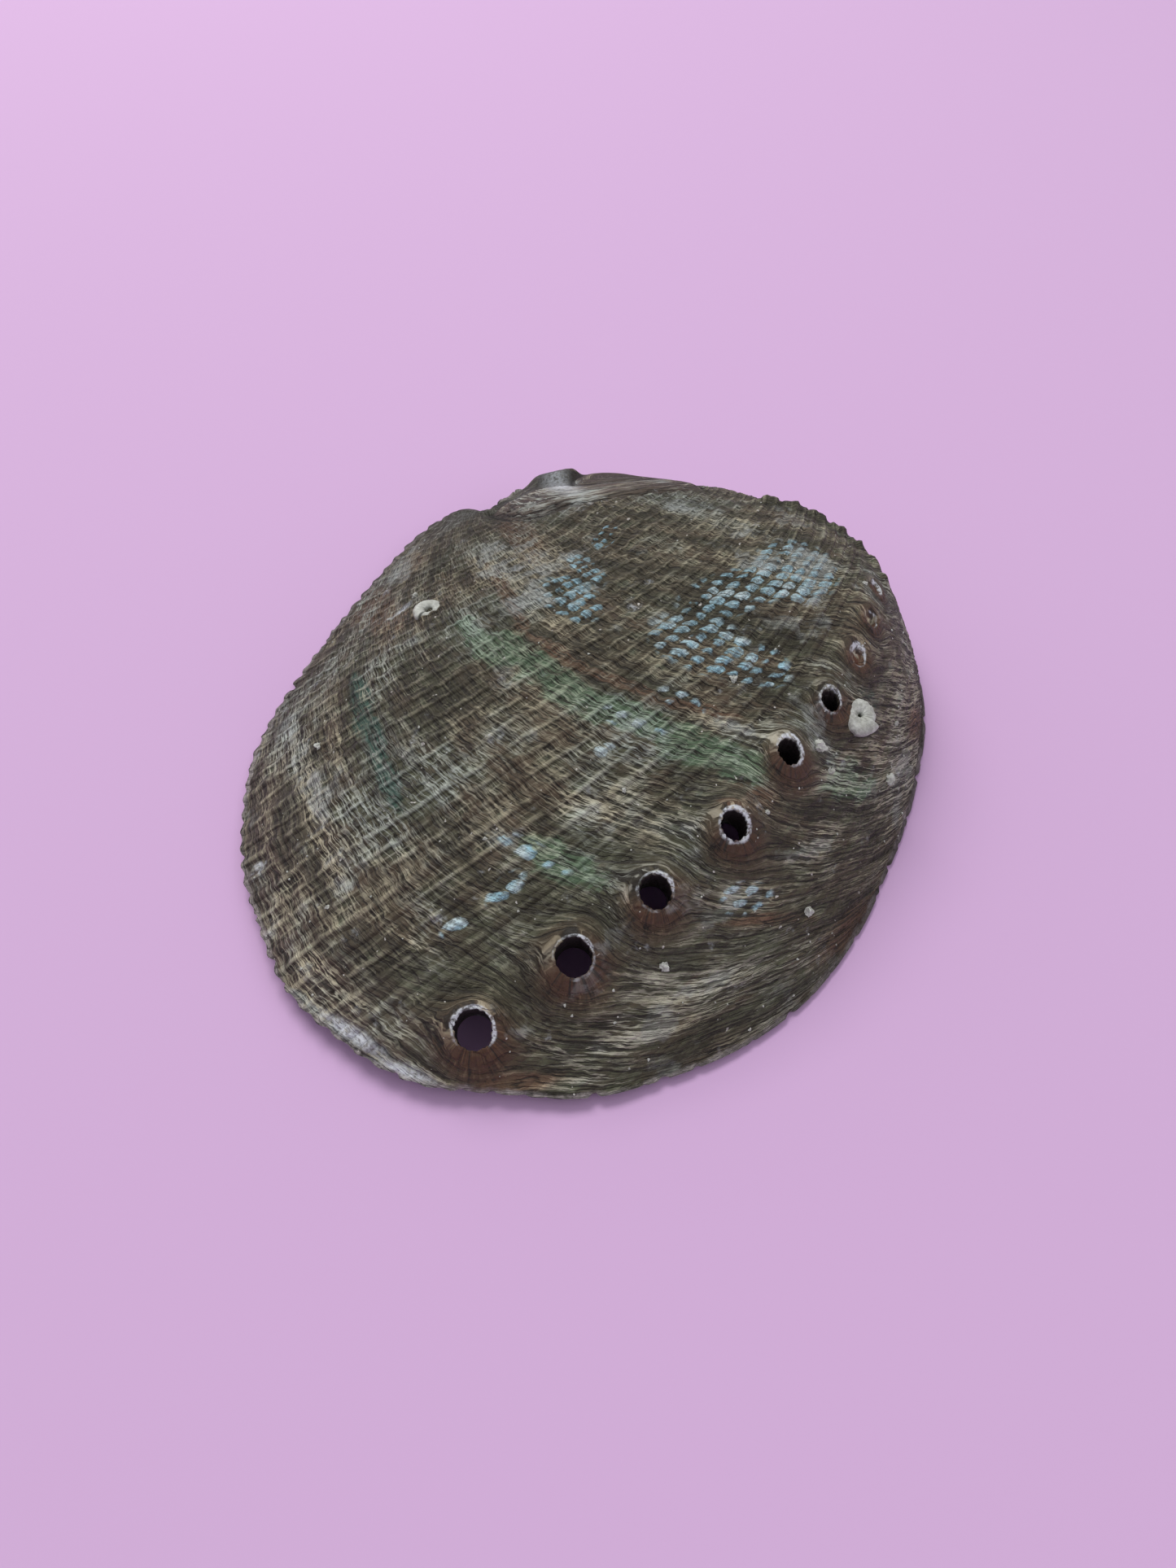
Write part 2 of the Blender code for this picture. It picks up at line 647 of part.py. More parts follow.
def worm_tube_mesh(x, y, turn, coil):
    """One open coil of a tapering tube, lying on the slope, with its mouth at the given turn."""
    step = TUBE_FOOTING
    gx = float(outer_height(x + step, y) - outer_height(x - step, y)) / (2 * step)
    gy = float(outer_height(x, y + step) - outer_height(x, y - step)) / (2 * step)
    up = Vector((-gx, -gy, 1.0)).normalized()
    along = Vector((1.0, 0.0, gx)).normalized()
    across = up.cross(along).normalized()
    base = Vector((x, y, float(outer_height(x, y))))
    verts = []
    for i in range(TUBE_STEPS + 1):
        share = i / TUBE_STEPS
        angle = math.radians(turn - TUBE_SWEEP * share)
        size = TUBE_MOUTH + (TUBE_TIP - TUBE_MOUTH) * share
        reach = coil * (1.0 - TUBE_WINDING_IN * share)
        out = along * math.cos(angle) + across * math.sin(angle)
        middle = base + out * reach + up * (TUBE_MOUTH + TUBE_LIFT)
        for k in range(TUBE_SIDES):
            t = 2 * math.pi * k / TUBE_SIDES
            verts.append((middle + out * (size * math.cos(t)) + up * (size * math.sin(t))) * MM)
    faces = []
    for i in range(TUBE_STEPS):
        for k in range(TUBE_SIDES):
            a = i * TUBE_SIDES + k
            b = i * TUBE_SIDES + (k + 1) % TUBE_SIDES
            faces.append((a, b, b + TUBE_SIDES, a + TUBE_SIDES))
    faces.append(tuple(reversed(range(TUBE_SIDES))))
    faces.append(tuple(range(TUBE_STEPS * TUBE_SIDES, (TUBE_STEPS + 1) * TUBE_SIDES)))
    return verts, faces


def material(name, colour, roughness):
    mat = bpy.data.materials.new(name)
    mat.use_nodes = True
    shader = mat.node_tree.nodes["Principled BSDF"]
    shader.inputs["Base Color"].default_value = colour
    shader.inputs["Roughness"].default_value = roughness
    shader.inputs["Metallic"].default_value = 0.0
    return mat


def add_object(name, verts, faces, mat):
    mesh = bpy.data.meshes.new(name)
    mesh.from_pydata([tuple(v) for v in verts], [], faces)
    mesh.validate()
    mesh.materials.append(mat)
    mesh.shade_smooth()
    mesh.set_sharp_from_angle(angle=math.radians(40.0))
    obj = bpy.data.objects.new(name, mesh)
    bpy.context.scene.collection.objects.link(obj)
    return obj


def build():
    for obj in list(bpy.data.objects):
        bpy.data.objects.remove(obj, do_unlink=True)
    verts, faces = shell_mesh()
    add_object("shell", verts, faces, material("shell_ribbed", SHELL_COLOUR, 0.75))
    chalk = material("chalk_tube", TUBE_COLOUR, 0.85)
    for name, (x, y, turn, coil) in WORM_TUBES.items():
        verts, faces = worm_tube_mesh(x, y, turn, coil)
        add_object(name, verts, faces, chalk)


build()
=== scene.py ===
import math

import bmesh
import bpy
import numpy as np
from mathutils import Matrix, Vector
from mathutils.geometry import delaunay_2d_cdt


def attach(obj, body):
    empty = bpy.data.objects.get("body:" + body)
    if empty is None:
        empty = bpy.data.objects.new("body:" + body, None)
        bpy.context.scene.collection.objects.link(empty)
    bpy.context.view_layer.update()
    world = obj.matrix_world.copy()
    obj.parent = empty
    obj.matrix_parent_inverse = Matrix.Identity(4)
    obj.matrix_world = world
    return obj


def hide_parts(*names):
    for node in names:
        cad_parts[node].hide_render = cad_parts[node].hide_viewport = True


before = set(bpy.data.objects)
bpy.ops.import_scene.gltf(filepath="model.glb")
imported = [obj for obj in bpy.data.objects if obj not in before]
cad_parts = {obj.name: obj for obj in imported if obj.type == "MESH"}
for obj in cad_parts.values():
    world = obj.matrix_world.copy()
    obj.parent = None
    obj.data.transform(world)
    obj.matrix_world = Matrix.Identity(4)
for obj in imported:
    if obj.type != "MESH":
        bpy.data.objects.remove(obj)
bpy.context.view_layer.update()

# Lengths are in millimetres until a mesh is made.
# +X is the side of the breathing holes, -Y the growing front lip, +Y the spire end, +Z up.
MM = 0.001

# Form of the shell, as in the solids.
OUTLINE = [
    (-12.2, 34.4), (-14.4, 36.2), (-17.7, 37.2), (-20.6, 35.6), (-23.3, 32.3), (-27.1, 25.7),
    (-30.9, 18.0), (-33.7, 10.5), (-36.1, 2.4), (-37.4, -5.6), (-36.8, -14.0), (-35.0, -22.4),
    (-31.9, -29.5), (-28.3, -36.1), (-23.1, -41.0), (-16.2, -45.2), (-8.4, -46.2), (-1.1, -46.4),
    (5.5, -44.5), (12.1, -41.5), (18.6, -36.6), (24.3, -29.5), (29.1, -20.7), (33.9, -9.5),
    (36.9, 1.2), (37.5, 10.5), (35.8, 20.9), (31.4, 30.0), (24.7, 38.0), (16.4, 43.6),
    (7.2, 46.2), (-2.1, 45.9), (-8.2, 43.6), (-10.4, 40.2),
]
NOTCH_POINTS = 3
BRIDGE = [(-17.2, 39.2), (-13.0, 42.2)]
SUMMIT = (5.7, 1.2)
HEIGHT = 21.0
BULGE = {
    0: 4.3, 40: 3.4, 50: 2.9, 60: 2.4, 72: 2.15, 95: 2.0, 112: 1.8, 128: 1.4,
    160: 1.6, 190: 2.0, 225: 2.05, 270: 2.2, 315: 2.8,
}
NOTCH_DIP = (-13.8, 36.9)
NOTCH_DIP_DEPTH = 1.9
NOTCH_DIP_WIDTH = 2.7
RIM_LIFTS = [(122.0, 26.0, 2.6), (232.0, 34.0, 1.6)]
GROWTH_CENTRE = (-9.2, 35.4)
TURN_LINEAR = 1.642
TURN_SQUARE = 0.938
HOLE_ROW_ANGLE = 264.5
FIRST_RIB_ANGLE = 185.0
RIB_COUNT = 38
WALL = 1.5
LIP_WALL = 1.0
LIP_ROUNDING = 0.3
THINNEST_WALL = 0.8
LEDGE_WIDTH = 5.0
LEDGE_HEIGHT = 2.2
LEDGE_MIDDLE_ANGLE = 352.0
LEDGE_HALF_ANGLE = 62.0
LEDGE_ROUNDING = 1.2
RIDGE_HEIGHT = 0.9
RIDGE_WIDTH = 3.2
RELIEF_FADE = 0.08
OPEN_HOLES = [
    (-10.7, -42.7, 3.3, 1.3), (-2.3, -38.0, 3.2, 1.3), (4.7, -33.0, 2.9, 1.2),
    (11.8, -27.0, 2.6, 1.1), (17.3, -19.5, 2.6, 1.0), (22.0, -12.7, 2.3, 0.6),
]
SEALED_HOLES = [(25.5, -6.6, 1.9, 0.9), (27.4, -1.9, 1.6, 0.8), (28.9, 3.6, 1.4, 0.6)]
OLD_LUMPS = [
    (31.2, 8.2), (30.5, 11.0), (29.2, 13.7), (27.2, 15.7), (24.6, 16.7), (21.9, 17.2), (19.2, 17.6),
]
LUMP_HEIGHT = 1.0
LUMP_WIDTH = 1.2
PIT_LIP = 0.7
PIT_LIP_SPREAD = 1.3
PIT_SPREAD = 0.55
CHIMNEY_SPREAD = 1.9
SLOPE_STEP = 0.5
SPIRE_APEX = (3.0, 31.5)
SPIRE_TOP = (-2.2, 38.4)
SPIRE_RISE = 0.8
SPIRE_WIDTH = 6.2
SPIRE_LENGTHENING = 1.25
SPIRE_SHOULDER = 4.0
SPIRE_END = (-5.4, 37.4)
SPIRE_END_RISE = 1.3
SPIRE_END_WIDTH = 3.2
SPIRE_END_SHOULDER = 6.0
SPIRE_FOOT = (-11.6, 33.6)
SPIRE_FOOT_DEPTH = 0.8
SPIRE_FOOT_WIDTH = 2.6
SUTURE_START_ANGLE = 184.5
SUTURE_START_RADIUS = 16.2
SUTURE_RATE = 0.16
SUTURE_TURNS = 1.5
SUTURE_DEPTH = 0.9
SUTURE_WIDTH = 1.0
SUTURE_SHALLOWING = 0.75

# Relief of the visual shell, in millimetres at the lip.
RIB_RELIEF = 0.3
FINE_RIB_RELIEF = 0.12
FOLD_RELIEF = 0.75
STEP_RELIEF = 0.9
BEAD_RELIEF = 0.35
GRAIN_RELIEF = 0.06

# Worm tubes: place, turn in degrees of the mouth, and sizes; how finely they are cut; and the stuck grit.
WORM_TUBES = {
    "worm_tube_left": (-17.9, 3.5, 235.0, (0.25, 0.0), {
        "Mouth radius": 0.64, "Tip radius": 0.46, "Coil radius": 1.1, "Winding in": 0.2, "Sweep": 6.8,
        "Flattening": 0.6, "Ring height": 0.12, "Foot": 0.8,
    }),
    "worm_tube_right": (25.2, -12.0, 335.0, (0.2, 0.7), {
        "Mouth radius": 0.95, "Tip radius": 0.68, "Coil radius": 1.2, "Winding in": 0.26, "Sweep": 6.5,
        "Flattening": 0.6, "Ring height": 0.18, "Foot": 0.9,
    }),
}
TUBE_SINK = 0.05
# Larger crumbs of chalk on the shell: place and size across.
CRUMBS = [
    (20.6, -17.0, 0.8), (21.8, -18.2, 0.45), (29.2, -13.8, 0.75), (19.0, -30.1, 0.6), (5.5, -37.2, 0.5),
    (-28.1, -11.5, 0.5), (-20.6, 11.4, 0.45), (12.4, -13.0, 0.5), (-24.6, -30.3, 0.35), (27.4, 2.9, 0.35),
    (15.0, -24.6, 0.3), (-10.1, -27.9, 0.25), (2.1, -24.4, 0.3), (30.4, -8.2, 0.35),
]
TUBE_SIDES = 20
TUBE_STEPS = 96
TUBE_HOLLOW = 0.1
GRIT_DENSITY = 60000.0

# Length of a bead along its rib, where beads show.
BEAD_LENGTH = 1.05

# How fine the visual mesh is.
OUTER_PITCH = 0.37
INNER_PITCH = 0.95
RIM_STEPS = 900
BORE_STEPS = 56
BORE_RINGS = (0.0, 0.1, 0.22, 0.36, 0.52, 0.7, 0.9, 1.12, 1.36, 1.62, 1.9)
OLDEST_AGE = 1.4

# Facts for the relief: how far growth lines bend round a hole, and millimetres of growth per unit of age.
HOLE_FLOW = 0.9
PATH_LENGTH = 90.0

# Where the colours lie, as ellipses seen from above: middle, long radius, short radius, turn in degrees.
BLUE = [
    (13.4, -2.6, 5.3, 2.3, 26), (9.5, -9.4, 4.2, 2.9, -20), (14.1, -10.9, 3.4, 2.0, 1),
    (-2.9, -3.0, 3.7, 2.1, -56), (0.8, 8.4, 1.9, 1.1, 79), (1.4, -17.6, 1.1, 0.7, -30),
    (3.4, -18.5, 1.0, 0.8, -21), (5.2, -19.3, 1.0, 0.6, -12), (7.4, -15.9, 1.9, 0.8, -23),
    (-5.8, -29.3, 3.1, 0.7, -27), (-8.2, -32.0, 1.7, 0.8, 33), (-12.5, -34.6, 1.2, 0.6, 15),
    (19.7, 1.6, 4.4, 3.4, 51), (12.9, -31.2, 2.4, 0.9, 21), (-1.3, 2.2, 3.5, 1.0, -67),
    (0.5, -20.9, 0.9, 0.6, 0),
]
GREEN = [
    (-12.1, -5.7, 5.4, 1.1, -66), (-7.5, -9.1, 4.5, 1.6, -48), (-2.8, -14.9, 4.9, 1.8, -36),
    (2.4, -17.6, 5.2, 1.5, -25), (8.3, -19.9, 4.3, 1.7, -9), (12.2, -21.4, 2.9, 1.6, -3),
    (23.7, -17.7, 3.7, 1.5, 41), (-9.9, -8.8, 3.2, 1.2, -50), (-3.4, -30.1, 4.3, 1.4, -24),
]
TEAL = [
    (-22.1, -13.3, 6.5, 1.1, -66), (-19.4, -20.4, 3.1, 1.0, -66), (-23.9, -7.9, 5.9, 1.1, -72),
    # The last teal patch, just above the right worm tube, is partly the shell's teal colour and partly painted shade
    # standing in for a dark pit.
    (26.8, -9.6, 1.5, 0.9, 50),
]
PALE = [
    (0.2, -26.6, 4.3, 1.6, -20), (3.6, -26.4, 4.8, 2.4, -24), (11.3, -18.1, 4.1, 1.3, -5),
    (20.9, 1.9, 4.4, 3.2, 21), (-7.5, 34.1, 9.2, 2.9, -81), (-3.2, 24.3, 7.0, 2.0, -60),
    (-7.9, 1.2, 10.9, 1.7, -68), (-12.1, 12.3, 8.6, 1.9, -78), (-28.6, -15.6, 14.3, 1.4, -68),
    (-24.8, -36.1, 3.5, 0.9, -41), (-15.4, -35.6, 2.3, 0.6, -36), (-26.8, -37.2, 2.9, 0.6, -40),
    (20.9, -16.8, 1.6, 0.4, 37), (9.4, -37.7, 5.1, 0.7, 29), (2.2, -42.4, 5.6, 0.7, 19),
    (-2.6, -45.3, 4.8, 0.5, 4), (7.3, -27.5, 2.9, 1.0, 20), (-23.7, 25.6, 6.6, 2.1, -85),
    (17.6, 2.5, 4.9, 2.0, -5), (12.4, 9.9, 6.5, 2.0, -33), (31.2, -4.4, 2.6, 1.5, 60),
    (23.8, -17.2, 2.6, 1.2, 40), (20.5, -24.4, 3.0, 0.8, 48), (12.9, -31.2, 2.4, 0.9, 24),
    (33.6, 1.5, 6.0, 1.4, 82), (33.0, -8.0, 3.6, 1.2, 62), (-3.2, 31.0, 3.4, 1.6, 70),
    (30.5, -11.5, 6.6, 2.2, 62), (-6.3, 7.0, 6.0, 2.6, -70), (24.6, -17.4, 2.6, 1.4, 35),
]
RUST = [
    (-9.6, 1.7, 11.2, 0.8, -74), (-4.3, -9.8, 5.6, 0.8, -44), (1.7, -14.1, 4.6, 0.7, -23),
    (8.4, -16.4, 4.4, 0.7, -6), (-22.9, 23.2, 4.1, 1.7, -86), (33.9, -4.2, 2.9, 0.7, 61),
    (14.7, -32.1, 5.0, 0.4, 20), (-27.1, 17.0, 14.8, 2.7, -68), (11.6, -25.3, 1.4, 0.6, -5),
    (-6.8, -45.4, 4.1, 0.7, 8), (20.1, -35.0, 6.4, 0.1, 48), (-8.6, 16.0, 10.1, 1.8, -74),
    (23.4, -12.6, 1.7, 0.8, 44), (14.2, -24.0, 1.8, 0.9, 30), (30.6, -19.5, 7.0, 0.8, 58), (24.0, -28.4, 6.0, 0.9, 50),
]
SMEAR = [
    (-22.1, 8.6, 1.5, 0.5, 40), (-4.6, 31.5, 7.0, 1.7, 102), (-21.8, -40.8, 3.6, 0.5, -34), (-16.5, -44.6, 3.0, 0.5, -24),
]

# How far the colour facts reach, in millimetres, apart from angles in degrees and shares.
PATCH_REACH = 1.45
SPIRE_BAND = 6.0
SPIRE_STREAK = 2.4
SUTURE_LINE = 0.6
FAN_DIRECTION = -72.0
FAN_REACH = 2.9
SWIRL_REACH = 1.9
HALO_REACH = 2.0
RIM_BAND_AT = 0.15
RIM_BAND = 0.24
PIT_BAND = 0.4
WORN_BAND = 0.55
LIP_BAND = 5.0

# Finishes, as linear colours.
DARK_OLIVE = (0.036, 0.034, 0.018)
WARM_BROWN = (0.078, 0.055, 0.034)
GREY_GREEN = (0.074, 0.080, 0.046)
PURPLE_BROWN = (0.078, 0.053, 0.050)
MOSS_GREEN = (0.085, 0.150, 0.085)
DEEP_TEAL = (0.018, 0.076, 0.060)
RUST_BROWN = (0.130, 0.068, 0.040)
FLANK_BROWN = (0.076, 0.062, 0.038)
SPIRE_BROWN = (0.085, 0.055, 0.045)
FIBRE_BROWN = (0.062, 0.027, 0.013)
PIT_BROWN = (0.150, 0.058, 0.036)
SHADOW_BROWN = (0.013, 0.010, 0.006)
PALE_THREAD = (0.56, 0.51, 0.36)
COOL_THREAD = (0.54, 0.59, 0.53)
GREEN_THREAD = (0.36, 0.50, 0.37)
ORANGE_THREAD = (0.34, 0.18, 0.085)
BEAD_BLUE = (0.33, 0.56, 0.66)
BEAD_GREY = (0.55, 0.67, 0.69)
CHALK_GREY = (0.40, 0.43, 0.42)
CHIPPED_WHITE = (0.62, 0.66, 0.70)
WORN_EDGE = (0.34, 0.30, 0.30)
SPECK_WHITE = (0.66, 0.64, 0.60)
# Painted shade: near black for the walls of the breathing holes, standing in for the shadow inside them.
BORE_PAINTED_SHADE = (0.012, 0.007, 0.008)
PEARL_PINK = (0.55, 0.42, 0.44)
PEARL_GREEN = (0.36, 0.52, 0.46)
PEARL_BLUE = (0.38, 0.46, 0.60)
PEARL_WHITE = (0.62, 0.60, 0.57)
CHALK_SHADE = (0.34, 0.35, 0.32)
CHALK_LIGHT = (0.52, 0.54, 0.50)
# Dirt in patches on the worm tubes, and painted shade inside their hollow mouths.
CHALK_DIRT_AND_SHADE = (0.17, 0.16, 0.12)


def closed_curve(angles, values):
    """A smooth periodic curve through values at the given angles, as a function of the angle."""
    order = np.argsort(angles)
    a = np.asarray(angles, float)[order]
    v = np.asarray(values, float)[order]
    a = np.concatenate([a[-2:] - 2 * np.pi, a, a[:3] + 2 * np.pi])
    v = np.concatenate([v[-2:], v, v[:3]])
    slope = (v[2:] - v[:-2]) / (a[2:] - a[:-2])

    def value(angle):
        w = a[2] + (np.asarray(angle, float) - a[2]) % (2 * np.pi)
        i = np.clip(np.searchsorted(a, w, side="right") - 1, 1, len(a) - 3)
        h = a[i + 1] - a[i]
        t = (w - a[i]) / h
        m0 = slope[i - 1] * h
        m1 = slope[i] * h
        t2 = t * t
        t3 = t2 * t
        return ((2 * t3 - 3 * t2 + 1) * v[i] + (t3 - 2 * t2 + t) * m0
                + (3 * t2 - 2 * t3) * v[i + 1] + (t3 - t2) * m1)

    return value


def polar_about(centre, points):
    p = np.asarray(points, float) - np.asarray(centre, float)
    return np.arctan2(p[:, 1], p[:, 0]) % (2 * np.pi), np.hypot(p[:, 0], p[:, 1])


RIM_RADIUS = closed_curve(*polar_about(SUMMIT, OUTLINE))
FORM_RADIUS = closed_curve(*polar_about(SUMMIT, OUTLINE[NOTCH_POINTS:-1] + BRIDGE))
LIP_RADIUS = closed_curve(*polar_about(GROWTH_CENTRE, OUTLINE[NOTCH_POINTS:-1] + BRIDGE))
BULGE_AT = closed_curve(np.radians(list(BULGE)), list(BULGE.values()))


def angle_gap(angle, degrees):
    return (np.asarray(angle) - math.radians(degrees) + np.pi) % (2 * np.pi) - np.pi


def growth_turn(age):
    return TURN_LINEAR * age + TURN_SQUARE * age * age


def growth_point(label, age):
    """A point on the growth line of the given age, on the rib that meets the rim at this angle."""
    radius = LIP_RADIUS(label) * np.exp(-age)
    angle = label + growth_turn(age)
    return GROWTH_CENTRE[0] + radius * np.cos(angle), GROWTH_CENTRE[1] + radius * np.sin(angle)


def growth_of(x, y):
    """Age and rib label at points seen from above: the first growth line met on the way back from the rim."""
    table_angle = np.linspace(0.0, 2 * np.pi, 7201)
    table = np.log(LIP_RADIUS(table_angle))
    dx = x - GROWTH_CENTRE[0]
    dy = y - GROWTH_CENTRE[1]
    reach = np.log(np.hypot(dx, dy) + 1e-6)
    angle = np.arctan2(dy, dx) % (2 * np.pi)
    age = np.full(x.shape, OLDEST_AGE)
    found = np.zeros(x.shape, bool)
    steps = np.linspace(0.0, OLDEST_AGE, 400)
    last = np.interp(angle, table_angle, table) - reach
    for a, b in zip(steps[:-1], steps[1:]):
        now = np.interp((angle - growth_turn(b)) % (2 * np.pi), table_angle, table) - b - reach
        hit = ~found & (now <= 0.0)
        share = np.clip(last / (last - now + 1e-12), 0.0, 1.0)
        age = np.where(hit, a + (b - a) * share, age)
        found |= hit
        last = now
    return age, angle - growth_turn(age)


def lift_at(angle):
    z = np.zeros(np.shape(angle))
    for degrees, half, lift in RIM_LIFTS:
        z = z + lift * np.exp(-(angle_gap(angle, degrees) / math.radians(half)) ** 2)
    return z


def dome(x, y):
    """The smooth outer form, with no ribs, ridge or holes."""
    dx = x - SUMMIT[0]
    dy = y - SUMMIT[1]
    angle = np.arctan2(dy, dx)
    reach = np.hypot(dx, dy) / FORM_RADIUS(angle)
    edge = lift_at(angle)
    dip = np.hypot(x - NOTCH_DIP[0], y - NOTCH_DIP[1]) / NOTCH_DIP_WIDTH
    form = edge + (HEIGHT - edge) * (1.0 - np.clip(reach, 0.0, 1.0) ** BULGE_AT(angle))
    return form - NOTCH_DIP_DEPTH * np.exp(-dip ** 2)


def rim_height(angle):
    radius = RIM_RADIUS(angle)
    return np.maximum(dome(SUMMIT[0] + radius * np.cos(angle), SUMMIT[1] + radius * np.sin(angle)), 0.0)


def suture_points(count):
    t = np.linspace(0.0, SUTURE_TURNS * 2 * np.pi, count)
    radius = SUTURE_START_RADIUS * np.exp(-SUTURE_RATE * t)
    angle = math.radians(SUTURE_START_ANGLE) + t
    return SPIRE_APEX[0] + radius * np.cos(angle), SPIRE_APEX[1] + radius * np.sin(angle)


def distance_to(px, py, x, y):
    best = np.full(np.shape(x), 1e9)
    for a, b in zip(px, py):
        best = np.minimum(best, np.hypot(x - a, y - b))
    return best


def slope_at(x, y):
    """How much the dome climbs for each millimetre towards +X and towards +Y."""
    step = SLOPE_STEP
    gx = float(dome(x + step, y) - dome(x - step, y)) / (2 * step)
    gy = float(dome(x, y + step) - dome(x, y - step)) / (2 * step)
    return gx, gy


def gap_on_slope(place, slope, x, y):
    """Distance from a place, measured along the slope that the surface has there."""
    dx = x - place[0]
    dy = y - place[1]
    return np.sqrt(dx * dx + dy * dy + (dx * slope[0] + dy * slope[1]) ** 2)


def ring_on_slope(place, slope, radius, count):
    """A circle that is round as it lies on the slope, seen from above."""
    steep = math.hypot(slope[0], slope[1])
    up_x = slope[0] / steep
    up_y = slope[1] / steep
    t = np.arange(count) * 2 * np.pi / count
    along = radius * np.cos(t) / math.sqrt(1.0 + steep * steep)
    across = radius * np.sin(t)
    return place[0] + along * up_x - across * up_y, place[1] + along * up_y + across * up_x


RIDGE_X, RIDGE_Y = growth_point(math.radians(HOLE_ROW_ANGLE), np.linspace(0.0, 0.6, 60))
SUTURE_X, SUTURE_Y = suture_points(220)
SLOPE_OF = {place[:2]: slope_at(*place[:2]) for place in OPEN_HOLES + SEALED_HOLES + OLD_LUMPS}


def suture_share(x, y):
    """How much of the suture's depth is cut at each point: it is deepest at the notch."""
    share = np.zeros(np.shape(x))
    for place, (a, b) in zip(np.linspace(0.0, 1.0, len(SUTURE_X)), zip(SUTURE_X, SUTURE_Y)):
        near = np.exp(-(np.hypot(x - a, y - b) / SUTURE_WIDTH) ** 2)
        share = np.maximum(share, (1.0 - SUTURE_SHALLOWING * place) * near)
    return share


def outer_height(x, y):
    """Height of the outer surface, without its fine relief."""
    z = dome(x, y)
    angle = np.arctan2(y - SUMMIT[1], x - SUMMIT[0])
    inside = 1.0 - np.clip(np.hypot(x - SUMMIT[0], y - SUMMIT[1]) / RIM_RADIUS(angle), 0.0, 1.0)
    fade = np.clip(inside / RELIEF_FADE, 0.0, 1.0)
    z = z + RIDGE_HEIGHT * fade * np.exp(-(distance_to(RIDGE_X, RIDGE_Y, x, y) / RIDGE_WIDTH) ** 2)
    spire = np.hypot((x - SPIRE_TOP[0]) / SPIRE_LENGTHENING, y - SPIRE_TOP[1])
    z = z + SPIRE_RISE * fade * np.exp(-(spire / SPIRE_WIDTH) ** SPIRE_SHOULDER)
    end = np.hypot(x - SPIRE_END[0], y - SPIRE_END[1]) / SPIRE_END_WIDTH
    z = z + SPIRE_END_RISE * fade * np.exp(-end ** SPIRE_END_SHOULDER)
    foot = np.hypot(x - SPIRE_FOOT[0], y - SPIRE_FOOT[1]) / SPIRE_FOOT_WIDTH
    z = z - SPIRE_FOOT_DEPTH * fade * np.exp(-foot ** 2)
    z = z - SUTURE_DEPTH * fade * suture_share(x, y)
    for hx, hy, bore, rise in OPEN_HOLES:
        gap = np.clip(gap_on_slope((hx, hy), SLOPE_OF[hx, hy], x, y) - 0.5 * bore, 0.0, None)
        z = z + rise * np.exp(-(gap / CHIMNEY_SPREAD) ** 2)
    for hx, hy, width, depth in SEALED_HOLES:
        gap = gap_on_slope((hx, hy), SLOPE_OF[hx, hy], x, y) / width
        z = z + PIT_LIP * np.exp(-(gap / PIT_LIP_SPREAD) ** 2)
        z = z - (depth + PIT_LIP) * np.exp(-(gap / PIT_SPREAD) ** 2)
    for hx, hy in OLD_LUMPS:
        gap = gap_on_slope((hx, hy), SLOPE_OF[hx, hy], x, y)
        z = z + LUMP_HEIGHT * np.exp(-(gap / LUMP_WIDTH) ** 2)
    return z


def ledge_share(angle):
    gap = np.abs(angle_gap(angle, LEDGE_MIDDLE_ANGLE)) / math.radians(LEDGE_HALF_ANGLE)
    return np.clip(1.6 * (1.0 - gap), 0.0, 1.0)


def inner_height(x, y):
    """Height of the inner surface."""
    angle = np.arctan2(y - SUMMIT[1], x - SUMMIT[0])
    radius = np.hypot(x - SUMMIT[0], y - SUMMIT[1])
    share = ledge_share(angle)
    edge = lift_at(angle)
    foot = FORM_RADIUS(angle) - LIP_WALL - LIP_ROUNDING - LEDGE_WIDTH * share
    reach = np.clip(radius / foot, 0.0, 1.0)
    hollow = edge + (HEIGHT - WALL - edge) * (1.0 - reach ** BULGE_AT(angle))
    from_lip = np.clip((FORM_RADIUS(angle) - LIP_WALL - radius) / LEDGE_ROUNDING, 0.0, 1.0)
    ledge = edge + LEDGE_HEIGHT * share * from_lip
    return np.minimum(np.maximum(hollow, ledge), outer_height(x, y) - THINNEST_WALL)


